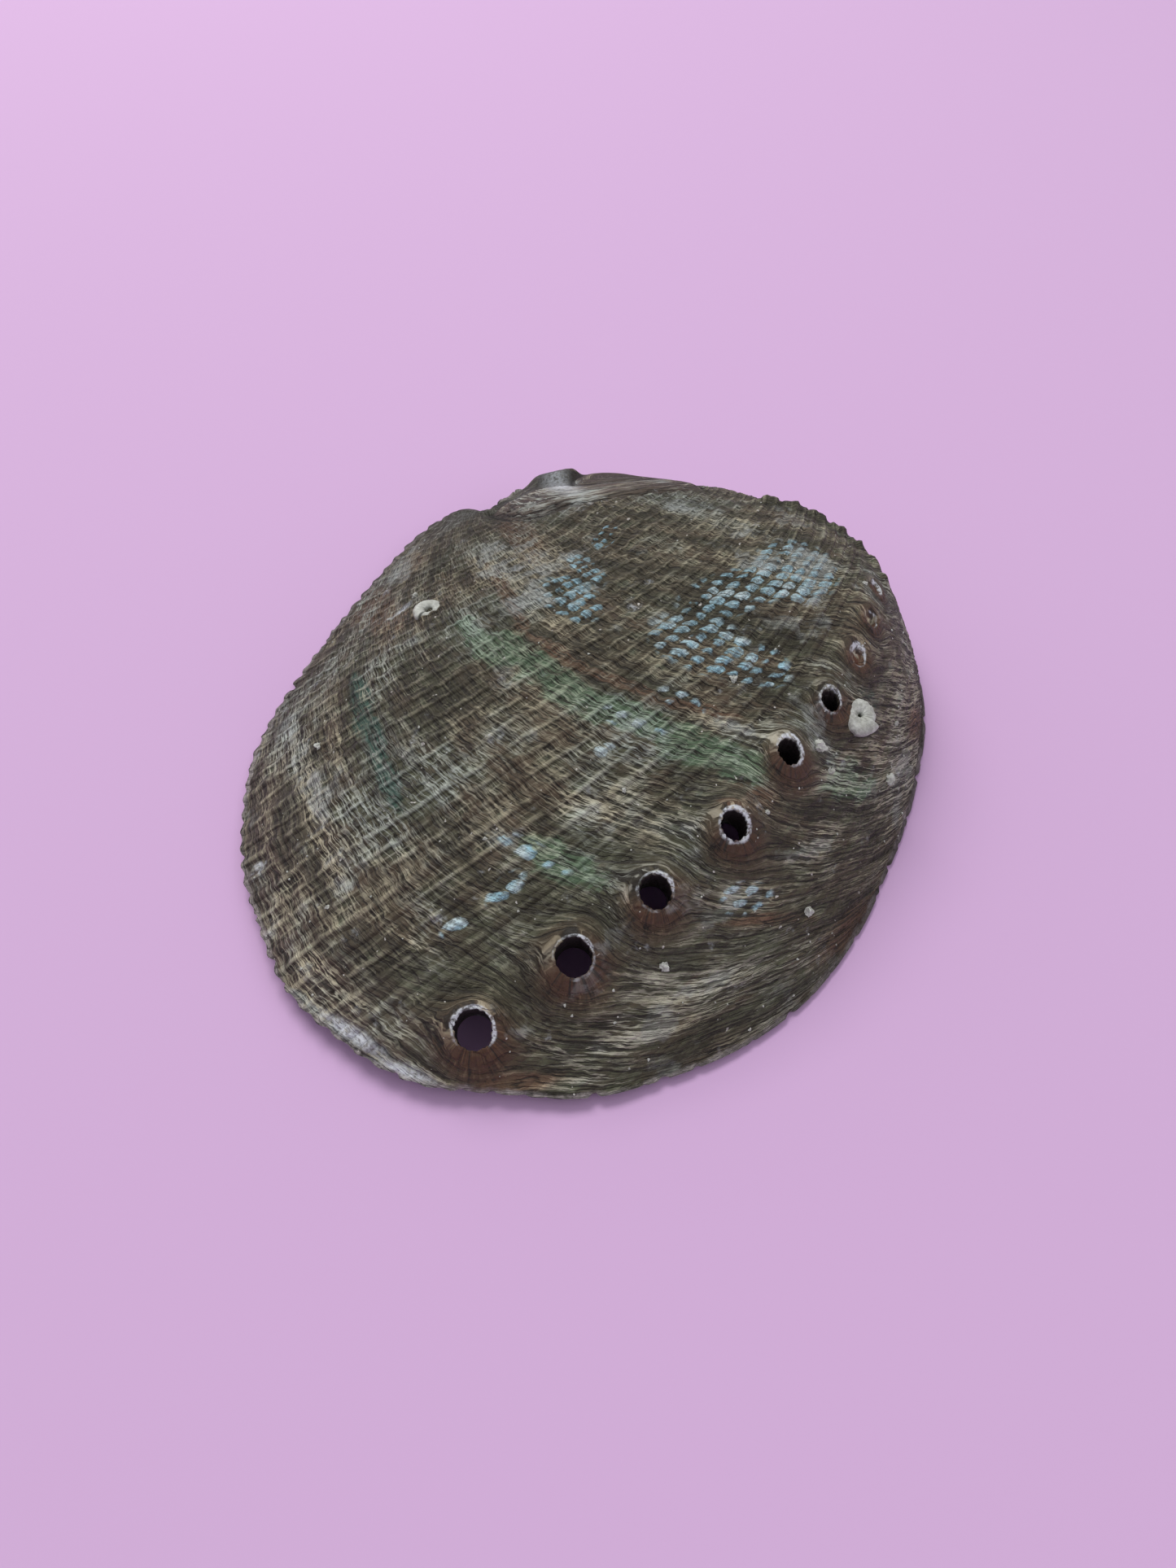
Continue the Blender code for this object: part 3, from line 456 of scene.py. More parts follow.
class Unrolled:
    """The dome laid flat about its summit, so that even spacing there is nearly even on the surface."""

    ANGLES = 361
    REACHES = 241

    def __init__(self):
        self.angles = np.linspace(0.0, 2 * np.pi, self.ANGLES)
        share = np.linspace(0.0, 1.0, self.REACHES)
        radius = RIM_RADIUS(self.angles)[:, None] * share[None, :]
        x = SUMMIT[0] + radius * np.cos(self.angles)[:, None]
        y = SUMMIT[1] + radius * np.sin(self.angles)[:, None]
        z = dome(x, y)
        step = np.hypot(np.diff(radius, axis=1), np.diff(z, axis=1))
        arc = np.concatenate([np.zeros((self.ANGLES, 1)), np.cumsum(step, axis=1)], axis=1)
        self.full = arc[:, -1]
        self.arc_of_share = arc / arc[:, -1:]
        self.share_of_arc = np.array([np.interp(share, row, share) for row in self.arc_of_share])

    def look_up(self, table, angle, share):
        i = (angle % (2 * np.pi)) / (2 * np.pi) * (self.ANGLES - 1)
        j = np.clip(share, 0.0, 1.0) * (self.REACHES - 1)
        i0 = np.clip(i.astype(int), 0, self.ANGLES - 2)
        j0 = np.clip(j.astype(int), 0, self.REACHES - 2)
        a = i - i0
        b = j - j0
        return ((table[i0, j0] * (1 - b) + table[i0, j0 + 1] * b) * (1 - a)
                + (table[i0 + 1, j0] * (1 - b) + table[i0 + 1, j0 + 1] * b) * a)

    def flat(self, x, y):
        """Seen-from-above coordinates to flat ones."""
        angle = np.arctan2(y - SUMMIT[1], x - SUMMIT[0])
        share = np.hypot(x - SUMMIT[0], y - SUMMIT[1]) / RIM_RADIUS(angle)
        full = np.interp(angle % (2 * np.pi), self.angles, self.full)
        arc = full * self.look_up(self.arc_of_share, angle, share) * np.maximum(share, 1.0)
        return arc * np.cos(angle), arc * np.sin(angle)

    def plan(self, p, q):
        """Flat coordinates to seen-from-above ones, and how far out they are, 1 at the rim."""
        angle = np.arctan2(q, p)
        full = np.interp(angle % (2 * np.pi), self.angles, self.full)
        part = np.hypot(p, q) / full
        radius = self.look_up(self.share_of_arc, angle, part) * RIM_RADIUS(angle)
        return SUMMIT[0] + radius * np.cos(angle), SUMMIT[1] + radius * np.sin(angle), part


UNROLLED = Unrolled()


def rib_table():
    """Rib number along the lip: whole numbers are crests, as on the solids."""
    labels = np.radians(np.linspace(FIRST_RIB_ANGLE, HOLE_ROW_ANGLE, 400))
    x, y = growth_point(labels, 0.0)
    along = np.concatenate([[0.0], np.cumsum(np.hypot(np.diff(x), np.diff(y)))])
    return labels, along / along[-1] * RIB_COUNT


RIB_LABELS, RIB_NUMBERS = rib_table()


def rib_number(label):
    """Rib number for a label, carried on evenly past both ends of the lip."""
    last = (RIB_NUMBERS[-1] - RIB_NUMBERS[-2]) / (RIB_LABELS[-1] - RIB_LABELS[-2])
    first = (RIB_NUMBERS[1] - RIB_NUMBERS[0]) / (RIB_LABELS[1] - RIB_LABELS[0])
    number = np.interp(label, RIB_LABELS, RIB_NUMBERS)
    number = number + np.clip(label - RIB_LABELS[-1], 0.0, None) * last
    return number + np.clip(label - RIB_LABELS[0], None, 0.0) * first


def waves(seed, count, low, high, dims=2):
    """A seeded smooth noise: a sum of plane waves with wavelengths between low and high, about -1 to 1."""
    rng = np.random.default_rng(seed)
    length = low * (high / low) ** rng.random(count)
    heading = rng.normal(size=(count, dims))
    heading /= np.linalg.norm(heading, axis=1)[:, None]
    phase = rng.random(count) * 2 * np.pi
    k = heading * (2 * np.pi / length)[:, None]

    def value(*coords):
        total = 0.0
        for row, ph in zip(k, phase):
            total = total + np.sin(sum(c * w for c, w in zip(coords, row)) + ph)
        return total / math.sqrt(count / 2.0)

    return value


CHIP_NOISE = waves(3, 24, 1.2, 9.0, 1)
BORE_NOISE = waves(5, 10, 0.5, 3.0, 1)


def hex_grid(pitch, reach):
    row = pitch * math.sqrt(0.75)
    count = int(2 * reach / pitch)
    i, j = np.meshgrid(np.arange(count), np.arange(int(2 * reach / row)))
    p = -reach + (i + 0.5 * (j % 2)) * pitch
    q = -reach + j * row
    return p.ravel(), q.ravel()


def rim_places():
    """Points round the worn, scalloped rim, evenly spaced: angles about the summit and radii."""
    fine = np.linspace(0.0, 2 * np.pi, 4001)
    radius = RIM_RADIUS(fine)
    x = SUMMIT[0] + radius * np.cos(fine)
    y = SUMMIT[1] + radius * np.sin(fine)
    along = np.concatenate([[0.0], np.cumsum(np.hypot(np.diff(x), np.diff(y)))])
    spots = np.linspace(0.0, along[-1], RIM_STEPS + 1)[:-1]
    angle = np.interp(spots, along, fine)
    radius = RIM_RADIUS(angle)
    label = np.arctan2(SUMMIT[1] + radius * np.sin(angle) - GROWTH_CENTRE[1],
                       SUMMIT[0] + radius * np.cos(angle) - GROWTH_CENTRE[0]) % (2 * np.pi)
    on_lip = np.clip((np.degrees(label) - 180.0) / 12.0, 0.0, 1.0) * np.clip((275.0 - np.degrees(label)) / 8.0, 0.0, 1.0)
    scallop = 0.1 * np.cos(2 * np.pi * rib_number(label)) * on_lip
    chips = -0.22 * np.clip(CHIP_NOISE(spots) - 0.5, 0.0, None)
    return angle, radius + scallop + chips


def near_hole(x, y, margin):
    close = np.zeros(x.shape, bool)
    for hx, hy, bore, _ in OPEN_HOLES:
        close |= gap_on_slope((hx, hy), SLOPE_OF[hx, hy], x, y) < 0.5 * bore + margin
    return close


def bore_ring(hole, reach, rough):
    t = np.arange(BORE_STEPS) * 2 * np.pi / BORE_STEPS
    noise = BORE_NOISE(3.0 * np.cos(t) + 7.0 * hole[0]) + 0.6 * BORE_NOISE(9.0 * np.sin(t) + 3.0 * hole[1])
    place = hole[:2]
    return ring_on_slope(place, SLOPE_OF[place], 0.5 * hole[2] + reach + rough * noise, BORE_STEPS)


def triangulate(x, y, loops):
    """Triangles over the points, inside the first loop and outside the others, all facing up."""
    p, q = UNROLLED.flat(x, y)
    edges = []
    for start, count in loops:
        ids = np.arange(start, start + count)
        edges += list(zip(ids.tolist(), np.roll(ids, -1).tolist()))
    out = delaunay_2d_cdt([Vector(v) for v in np.stack([p, q], 1).tolist()], edges, [], 0, 1e-7, False)
    if len(out[0]) != len(x):
        raise RuntimeError("outlines cross")
    faces = np.array([f for f in out[2] if len(f) == 3])
    a, b, c = (np.stack([p[faces[:, k]], q[faces[:, k]]], 1) for k in range(3))
    area = (b[:, 0] - a[:, 0]) * (c[:, 1] - a[:, 1]) - (b[:, 1] - a[:, 1]) * (c[:, 0] - a[:, 0])
    faces[area < 0] = faces[area < 0][:, ::-1]
    keep = np.abs(area) > 1e-9
    for number, (start, count) in enumerate(loops):
        whole = np.all((faces >= start) & (faces < start + count), axis=1)
        mx = (a[:, 0] + b[:, 0] + c[:, 0]) / 3.0
        my = (a[:, 1] + b[:, 1] + c[:, 1]) / 3.0
        inside = inside_loop(p[start:start + count], q[start:start + count], mx[whole], my[whole])
        keep[np.flatnonzero(whole)[inside != (number == 0)]] = False
    return faces[keep]


def inside_loop(px, py, x, y):
    inside = np.zeros(x.shape, bool)
    for ax, ay, bx, by in zip(px, py, np.roll(px, -1), np.roll(py, -1)):
        if ay != by:
            inside ^= ((ay > y) != (by > y)) & (x < ax + (bx - ax) * (y - ay) / (by - ay))
    return inside


def outer_skin():
    """Points of the outer surface: an even filling, rings round each hole and the rim."""
    p, q = hex_grid(OUTER_PITCH, 62.0)
    full = np.interp(np.arctan2(q, p) % (2 * np.pi), UNROLLED.angles, UNROLLED.full)
    close = np.hypot(p, q) < full + 1.0
    x, y, part = UNROLLED.plan(p[close], q[close])
    full = full[close]
    keep = (part * full < full - 0.75 * OUTER_PITCH) & ~near_hole(x, y, BORE_RINGS[-1] + 0.15)
    angle, radius = rim_places()
    rim_x = SUMMIT[0] + radius * np.cos(angle)
    rim_y = SUMMIT[1] + radius * np.sin(angle)
    nearest = np.interp(np.arctan2(y - SUMMIT[1], x - SUMMIT[0]) % (2 * np.pi), angle, radius)
    keep &= np.hypot(x - SUMMIT[0], y - SUMMIT[1]) < nearest - 0.22
    xs = [rim_x]
    ys = [rim_y]
    loops = [(0, RIM_STEPS)]
    count = RIM_STEPS
    for hole in OPEN_HOLES:
        loops.append((count, BORE_STEPS))
        for reach in BORE_RINGS:
            rx, ry = bore_ring(hole, reach, 0.05 * math.exp(-reach / 0.3))
            if reach > 0.0:
                inside = np.hypot(rx - SUMMIT[0], ry - SUMMIT[1]) < 0.985 * RIM_RADIUS(
                    np.arctan2(ry - SUMMIT[1], rx - SUMMIT[0]))
                rx = rx[inside]
                ry = ry[inside]
            xs.append(rx)
            ys.append(ry)
            count += len(rx)
    xs.append(x[keep])
    ys.append(y[keep])
    x = np.concatenate(xs)
    y = np.concatenate(ys)
    return x, y, loops, angle


def inner_skin(angle):
    """Points of the inner surface, with as many round the rim and each bore as the outer one has."""
    radius = RIM_RADIUS(angle) - LIP_WALL
    xs = [SUMMIT[0] + radius * np.cos(angle)]
    ys = [SUMMIT[1] + radius * np.sin(angle)]
    loops = [(0, RIM_STEPS)]
    count = RIM_STEPS
    for hole in OPEN_HOLES:
        rx, ry = bore_ring(hole, 0.0, 0.0)
        lean_x, lean_y = bore_lean(hole)
        xs.append(rx + lean_x)
        ys.append(ry + lean_y)
        loops.append((count, BORE_STEPS))
        count += BORE_STEPS
    p, q = hex_grid(INNER_PITCH, 62.0)
    full = np.interp(np.arctan2(q, p) % (2 * np.pi), UNROLLED.angles, UNROLLED.full)
    close = np.hypot(p, q) < full
    x, y, _ = UNROLLED.plan(p[close], q[close])
    room = RIM_RADIUS(np.arctan2(y - SUMMIT[1], x - SUMMIT[0])) - LIP_WALL - np.hypot(x - SUMMIT[0], y - SUMMIT[1])
    keep = (room > 0.45 * INNER_PITCH) & ~near_hole(x, y, 1.7)
    return np.concatenate(xs + [x[keep]]), np.concatenate(ys + [y[keep]]), loops


def bore_lean(hole):
    """Where the bore comes out inside: it runs square to the slope."""
    gx, gy = SLOPE_OF[hole[:2]]
    long = math.sqrt(1.0 + gx * gx + gy * gy)
    return WALL * gx / long, WALL * gy / long


def strip(near, far):
    """Triangles between two rings with the same number of points."""
    after = np.roll(near, -1)
    far_after = np.roll(far, -1)
    return np.concatenate([np.stack([near, far, far_after], 1), np.stack([near, far_after, after], 1)])


def shell_surface():
    """Points, triangles and the facts about each point that the relief and the materials need."""
    ox, oy, outer_loops, angle = outer_skin()
    oz = outer_height(ox, oy)
    top = triangulate(ox, oy, outer_loops)
    ix, iy, inner_loops = inner_skin(angle)
    iz = inner_height(ix, iy)
    below = triangulate(ix, iy, inner_loops)[:, ::-1]
    edge_z = rim_height(angle)
    oz[:RIM_STEPS] = edge_z + 0.4
    iz[:RIM_STEPS] = edge_z + 0.12
    points = [np.stack([ox, oy, oz], 1), np.stack([ix, iy, iz], 1)]
    faces = [top, below + len(ox)]
    outer_rim = np.arange(RIM_STEPS)
    inner_rim = np.arange(RIM_STEPS) + len(ox)
    count = len(ox) + len(ix)
    rings = [outer_rim]
    for share, height in ((0.14, 0.1), (0.45, 0.0)):
        ring = points[0][:RIM_STEPS] * (1 - share) + points[1][:RIM_STEPS] * share
        ring[:, 2] = edge_z + height
        points.append(ring)
        rings.append(np.arange(RIM_STEPS) + count)
        count += RIM_STEPS
    rings.append(inner_rim)
    for a, b in zip(rings[:-1], rings[1:]):
        faces.append(strip(a, b))
    for (start, size), (far_start, _) in zip(outer_loops[1:], inner_loops[1:]):
        near = points[0][start:start + size]
        far = points[1][far_start:far_start + size]
        bore = [np.arange(size) + start]
        for share, widen in ((0.12, -0.02), (0.4, 0.0), (0.75, 0.0)):
            ring = near * (1 - share) + far * share
            middle = ring.mean(0)
            ring = middle + (ring - middle) * (1.0 + widen)
            points.append(ring)
            bore.append(np.arange(size) + count)
            count += size
        bore.append(np.arange(size) + len(ox) + far_start)
        for a, b in zip(bore[:-1], bore[1:]):
            faces.append(strip(a, b)[:, ::-1])
    lining = np.zeros(sum(len(f) for f in faces))
    lining[len(top):len(top) + len(below)] = 1.0
    return np.concatenate(points), np.concatenate(faces), lining, len(ox), len(ix)


def mesh_from(name, points, faces):
    mesh = bpy.data.meshes.new(name)
    mesh.vertices.add(len(points))
    mesh.vertices.foreach_set("co", np.asarray(points, np.float32).ravel() * MM)
    mesh.loops.add(3 * len(faces))
    mesh.loops.foreach_set("vertex_index", faces.astype(np.int32).ravel())
    mesh.polygons.add(len(faces))
    mesh.polygons.foreach_set("loop_start", np.arange(0, 3 * len(faces), 3, dtype=np.int32))
    mesh.update(calc_edges=True)
    mesh.shade_smooth()
    return mesh


def add_fact(mesh, name, values, domain="POINT"):
    layer = mesh.attributes.new(name, "FLOAT", domain)
    layer.data.foreach_set("value", np.asarray(values, np.float32))


class Nodes:
    """Shorthand for building a node tree: each call adds one node and returns what it puts out."""

    def __init__(self, tree):
        self.tree = tree

    def put(self, value, socket):
        if isinstance(value, bpy.types.NodeSocket):
            self.tree.links.new(value, socket)
        else:
            socket.default_value = value

    def add(self, kind, out, **inputs):
        node = self.tree.nodes.new(kind)
        for name, value in inputs.items():
            self.put(value, node.inputs[name])
        return node.outputs[out]

    def math(self, operation, *values, clamp=False):
        node = self.tree.nodes.new("ShaderNodeMath")
        node.operation = operation
        node.use_clamp = clamp
        for value, socket in zip(values, node.inputs):
            self.put(value, socket)
        return node.outputs[0]

    def times(self, a, *others):
        for b in others:
            a = self.math("MULTIPLY", a, b)
        return a

    def plus(self, a, *others):
        for b in others:
            a = self.math("ADD", a, b)
        return a

    def ramp(self, value, low, high, to_low=0.0, to_high=1.0):
        node = self.tree.nodes.new("ShaderNodeMapRange")
        node.interpolation_type = "SMOOTHSTEP"
        for name, v in (("Value", value), ("From Min", low), ("From Max", high), ("To Min", to_low), ("To Max", to_high)):
            self.put(v, node.inputs[name])
        return node.outputs["Result"]

    def vector(self, x, y, z=0.0):
        node = self.tree.nodes.new("ShaderNodeCombineXYZ")
        for value, socket in zip((x, y, z), node.inputs):
            self.put(value, socket)
        return node.outputs[0]

    def noise(self, vector, scale, detail=2.0, roughness=0.5, distortion=0.0):
        node = self.tree.nodes.new("ShaderNodeTexNoise")
        for name, v in (("Vector", vector), ("Scale", scale), ("Detail", detail), ("Roughness", roughness),
                        ("Distortion", distortion)):
            self.put(v, node.inputs[name])
        return node.outputs[0]


def cord_pattern(n, rib, path, bead_length):
    """Heights from 0 to 1 of the ribs, of the finer ribs on them, and of the beads along the ribs."""
    waver = n.noise(n.vector(n.times(rib, 0.55), n.times(path, 0.12)), 1.0, 2.0)
    wavy = n.plus(rib, n.times(n.math("SUBTRACT", waver, 0.5), 0.9))
    crest = n.math("POWER", n.math("ABSOLUTE", n.math("COSINE", n.times(wavy, math.pi))), 0.75)
    fine = n.math("POWER", n.math("ABSOLUTE", n.math("COSINE", n.times(wavy, 2 * math.pi))), 0.8)
    shift = n.times(n.math("SUBTRACT", n.noise(n.vector(rib, n.times(path, 0.3)), 0.8, 2.0), 0.5), 2.2)
    steps = n.noise(n.vector(n.times(rib, 0.28), n.times(n.plus(path, shift), 0.9)), 1.0, 3.0, 0.6)
    cell = n.times(n.plus(path, n.times(shift, 0.5)), n.math("DIVIDE", math.pi, bead_length))
    bead = n.times(n.math("POWER", n.math("ABSOLUTE", n.math("COSINE", cell)), 0.6), crest)
    return crest, fine, bead, steps


class Relief(Nodes):
    """Node shorthand that also reads the facts kept on the surface's points."""

    def fact(self, name):
        node = self.tree.nodes.new("GeometryNodeInputNamedAttribute")
        node.data_type = "FLOAT"
        node.inputs["Name"].default_value = name
        return node.outputs["Attribute"]


def tree_with(name, inputs):
    """An empty geometry tree with a geometry in and out and the named inputs."""
    tree = bpy.data.node_groups.new(name, "GeometryNodeTree")
    tree.interface.new_socket("Geometry", in_out="INPUT", socket_type="NodeSocketGeometry")
    for label, kind, value in inputs:
        socket = tree.interface.new_socket(label, in_out="INPUT", socket_type=kind)
        if value is not None:
            socket.default_value = value
    tree.interface.new_socket("Geometry", in_out="OUTPUT", socket_type="NodeSocketGeometry")
    return tree, tree.nodes.new("NodeGroupInput"), tree.nodes.new("NodeGroupOutput")


def growth_relief_tree():
    """Ribs, the finer ribs between them, growth steps, beads and grain, raised along the surface's normals."""
    tree, given, result = tree_with("growth_relief", [
        ("Rib height", "NodeSocketFloat", 0.0),
        ("Fine rib height", "NodeSocketFloat", 0.0),
        ("Fold height", "NodeSocketFloat", 0.0),
        ("Step height", "NodeSocketFloat", 0.0),
        ("Bead height", "NodeSocketFloat", 0.0),
        ("Bead length", "NodeSocketFloat", 1.0),
        ("Grain height", "NodeSocketFloat", 0.0),
        ("Surface", "NodeSocketMaterial", None),
        ("Lining", "NodeSocketMaterial", None),
    ])
    n = Relief(tree)
    rib = n.fact("rib")
    path = n.fact("path")
    size = n.fact("size")
    share = n.fact("raised")
    crest, fine, bead, steps = cord_pattern(n, rib, path, given.outputs["Bead length"])
    beads = n.times(bead, n.fact("beaded"))
    folds = n.noise(n.vector(n.times(rib, 0.62), n.times(path, 0.05), 5.0), 1.0, 1.0, 0.5)
    place = n.add("GeometryNodeInputPosition", "Position")
    grain = n.noise(place, 900.0, 3.0, 0.6)
    height = n.plus(
        n.times(n.math("SUBTRACT", crest, 0.62), given.outputs["Rib height"], n.fact("ribbed")),
        n.times(n.math("SUBTRACT", fine, 0.62), given.outputs["Fine rib height"], n.fact("fine_ribbed")),
        n.times(n.math("SUBTRACT", folds, 0.5), given.outputs["Fold height"], n.fact("folded")),
        n.times(n.math("SUBTRACT", steps, 0.5), given.outputs["Step height"]),
        n.times(beads, given.outputs["Bead height"]),
    )
    height = n.plus(n.times(height, size), n.times(n.math("SUBTRACT", grain, 0.5), given.outputs["Grain height"]))
    height = n.times(height, share)
    along = tree.nodes.new("ShaderNodeVectorMath")
    along.operation = "SCALE"
    n.put(n.add("GeometryNodeInputNormal", "Normal"), along.inputs[0])
    n.put(n.times(height, MM), along.inputs["Scale"])
    keep = tree.nodes.new("GeometryNodeStoreNamedAttribute")
    keep.data_type = "FLOAT"
    keep.domain = "POINT"
    keep.inputs["Name"].default_value = "relief"
    n.put(given.outputs["Geometry"], keep.inputs["Geometry"])
    n.put(height, keep.inputs["Value"])
    move = tree.nodes.new("GeometryNodeSetPosition")
    n.put(keep.outputs["Geometry"], move.inputs["Geometry"])
    n.put(along.outputs["Vector"], move.inputs["Offset"])
    whole = n.add("GeometryNodeRealizeInstances", "Geometry", Geometry=move.outputs["Geometry"])
    dressed = n.add("GeometryNodeSetMaterial", "Geometry", Geometry=whole, Material=given.outputs["Surface"])
    inside = n.math("GREATER_THAN", n.fact("lining"), 0.5)
    lined = n.add("GeometryNodeSetMaterial", "Geometry", Geometry=dressed, Selection=inside,
                  Material=given.outputs["Lining"])
    tree.links.new(lined, result.inputs["Geometry"])
    return tree


def grown(obj, tree, values):
    """Run a geometry tree on an object, with its named inputs set, and keep the result as its plain mesh."""
    modifier = obj.modifiers.new(tree.name, "NODES")
    modifier.node_group = tree
    for socket in tree.interface.items_tree:
        if socket.in_out == "INPUT" and socket.name in values:
            modifier[socket.identifier] = values[socket.name]
    ready = obj.evaluated_get(bpy.context.evaluated_depsgraph_get())
    mesh = bpy.data.meshes.new_from_object(ready)
    obj.modifiers.remove(modifier)
    old = obj.data
    obj.data = mesh
    bpy.data.meshes.remove(old)
    mesh.name = obj.name
    return obj


def spread(patches, x, y):
    """How much each point lies in any of the patches: 1 well inside one, 0 well outside all."""
    share = np.zeros(len(x))
    for px, py, long, short, turn in patches:
        c = math.cos(math.radians(turn))
        s = math.sin(math.radians(turn))
        u = ((x - px) * c + (y - py) * s) / long
        v = ((y - py) * c - (x - px) * s) / short
        share = np.maximum(share, np.clip(PATCH_REACH - np.hypot(u, v), 0.0, 1.0))
    return share


def spire_place(x, y):
    """On the spire: 1 inside its coil, and distances in mm across the coil and along it."""
    across = x - SPIRE_APEX[0]
    up = y - SPIRE_APEX[1]
    reach = np.hypot(across, up)
    turn = (np.arctan2(up, across) - math.radians(SUTURE_START_ANGLE)) % (2 * np.pi)
    wound = np.log(SUTURE_START_RADIUS / np.maximum(reach, 0.05)) / SUTURE_RATE
    whorl = (wound - turn) / (2 * np.pi)
    return (whorl > 0.0).astype(float), whorl * SPIRE_BAND, turn * reach


def hole_facts(x, y):
    """Round the holes: chipped rims, brown halos, and fibres that fan out on the side away from the spire."""
    rim = np.zeros(len(x))
    halo = np.zeros(len(x))
    fan = np.zeros(len(x))
    fanned = np.zeros(len(x))
    swirl = np.zeros(len(x))
    aim = math.radians(FAN_DIRECTION)
    for hole in OPEN_HOLES + SEALED_HOLES:
        place = hole[:2]
        half = 0.5 * hole[2]
        size = half / 1.9
        gap = gap_on_slope(place, SLOPE_OF[place], x, y) - half
        angle = (np.arctan2(y - hole[1], x - hole[0]) - aim + np.pi) % (2 * np.pi) - np.pi
        uphill = 0.7 - 0.3 * np.cos(angle + 0.6)
        rim = np.maximum(rim, uphill * np.exp(-((gap - RIM_BAND_AT) / RIM_BAND) ** 2))
        facing = np.clip((np.cos(angle) + 0.5) / 0.9, 0.0, 1.0)
        fade = np.exp(-(np.clip(gap - 0.5, 0.0, None) / (HALO_REACH * size)) ** 2) * (gap > -0.2)
        halo = np.maximum(halo, fade * (0.35 + 0.65 * facing))
        share = 0.8 * facing * np.exp(-(np.clip(gap, 0.0, None) / (FAN_REACH * size)) ** 3)
        away = np.clip(0.35 - np.cos(angle - 0.5), 0.0, 1.0) * np.exp(-(np.clip(gap, 0.0, None) / (SWIRL_REACH * size)) ** 2)
        swirl = np.maximum(swirl, away)
        fan = np.where(share > fanned, angle * half, fan)
        fanned = np.maximum(fanned, share)
    pit = np.zeros(len(x))
    for hole in SEALED_HOLES:
        gap = gap_on_slope(hole[:2], SLOPE_OF[hole[:2]], x, y) - 0.5 * hole[2]
        pit = np.maximum(pit, np.clip(-gap / PIT_BAND, 0.0, 1.0))
    return {"ring": rim, "halo": halo, "fan": fan, "fanned": fanned, "swirl": swirl, "pit": pit}


def shell_facts(points, outer_count, inner_count):
    """What the relief and the colours need to know at each point."""
    x = points[:, 0]
    y = points[:, 1]
    age, label = growth_of(x, y)
    flowing = age.copy()
    for hole in OPEN_HOLES + SEALED_HOLES:
        place = hole[:2]
        middle = growth_of(np.array([hole[0]]), np.array([hole[1]]))[0][0]
        away = gap_on_slope(place, SLOPE_OF[place], x, y) / (0.5 * hole[2] + HOLE_FLOW)
        flowing = middle + (flowing - middle) * (1.0 - np.minimum(1.0, away ** -2.0) * 0.97)
    on_spire, across_coil, along_coil = spire_place(x, y)
    facts = {
        "rib": np.where(on_spire > 0.5, along_coil / SPIRE_STREAK, rib_number(label)),
        "path": np.where(on_spire > 0.5, across_coil, flowing * PATH_LENGTH),
        "spire": on_spire,
        "suture": np.exp(-(distance_to(SUTURE_X, SUTURE_Y, x, y) / SUTURE_LINE) ** 2),
        "size": np.exp(-age) * np.clip(np.hypot(x - GROWTH_CENTRE[0], y - GROWTH_CENTRE[1]) / 22.0, 0.12, 1.0),
    }
    flank = np.clip((label - math.radians(HOLE_ROW_ANGLE)) / 0.06, 0.0, 1.0)
    from_ridge = distance_to(RIDGE_X, RIDGE_Y, x, y)
    ridge_fade = np.clip((from_ridge - 1.2) / 3.0, 0.0, 1.0) * (1.0 - on_spire)
    facts["flank"] = flank
    facts["flowing"] = np.clip(np.maximum(flank, 1.3 - from_ridge / 7.0), 0.0, 1.0) * (1.0 - on_spire)
    facts["hairy"] = np.clip(np.maximum((-14.0 - x) / 14.0, flank), 0.0, 1.0) * (1.0 - on_spire)
    facts["folded"] = np.clip(1.2 - age / 0.22, 0.0, 1.0) * np.clip((10.0 - x) / 10.0, 0.0, 1.0) * ridge_fade
    facts["ribbed"] = ridge_fade * (1.0 - 0.7 * flank)
    facts["fine_ribbed"] = ridge_fade * (1.0 - 0.6 * flank)
    facts["beaded"] = ridge_fade * np.clip((age - 0.12) / 0.15, 0.0, 1.0) * (1.0 - 0.6 * flank)
    raised = np.zeros(len(points))
    raised[:outer_count] = 1.0
    raised[:RIM_STEPS] = 0.25
    for hole in OPEN_HOLES:
        place = hole[:2]
        raised *= np.clip((gap_on_slope(place, SLOPE_OF[place], x, y) - 0.5 * hole[2]) / 1.2, 0.0, 1.0)
    facts["raised"] = raised * np.clip((1.6 - age) / 0.5, 0.3, 1.0)
    outside = np.ones(len(points))
    outside[outer_count:] = 0.0
    angle = np.arctan2(y - SUMMIT[1], x - SUMMIT[0])
    from_rim = np.clip(RIM_RADIUS(angle) - np.hypot(x - SUMMIT[0], y - SUMMIT[1]), 0.0, None)
    facts["edge"] = np.exp(-(from_rim / WORN_BAND) ** 2)
    facts["lip"] = np.exp(-(from_rim / LIP_BAND) ** 2) * np.clip((-10.0 - x) / 12.0, 0.0, 1.0)
    facts.update({name: values * outside for name, values in hole_facts(x, y).items()})
    for name, patches in (("blue", BLUE), ("green", GREEN), ("teal", TEAL), ("pale", PALE), ("rust", RUST), ("smear", SMEAR)):
        facts[name] = spread(patches, x, y) * outside
    facts["gritty"] = np.clip(0.25 + facts["pale"] + 0.5 * facts["hairy"], 0.0, 1.0) * outside * (facts["ring"] < 0.1)
    # Points on the walls of the breathing holes, which the outside finish paints near black as painted shade.
    inside = np.zeros(len(points))
    inside[outer_count + inner_count + 2 * RIM_STEPS:] = 1.0
    facts["bore"] = inside
    return facts


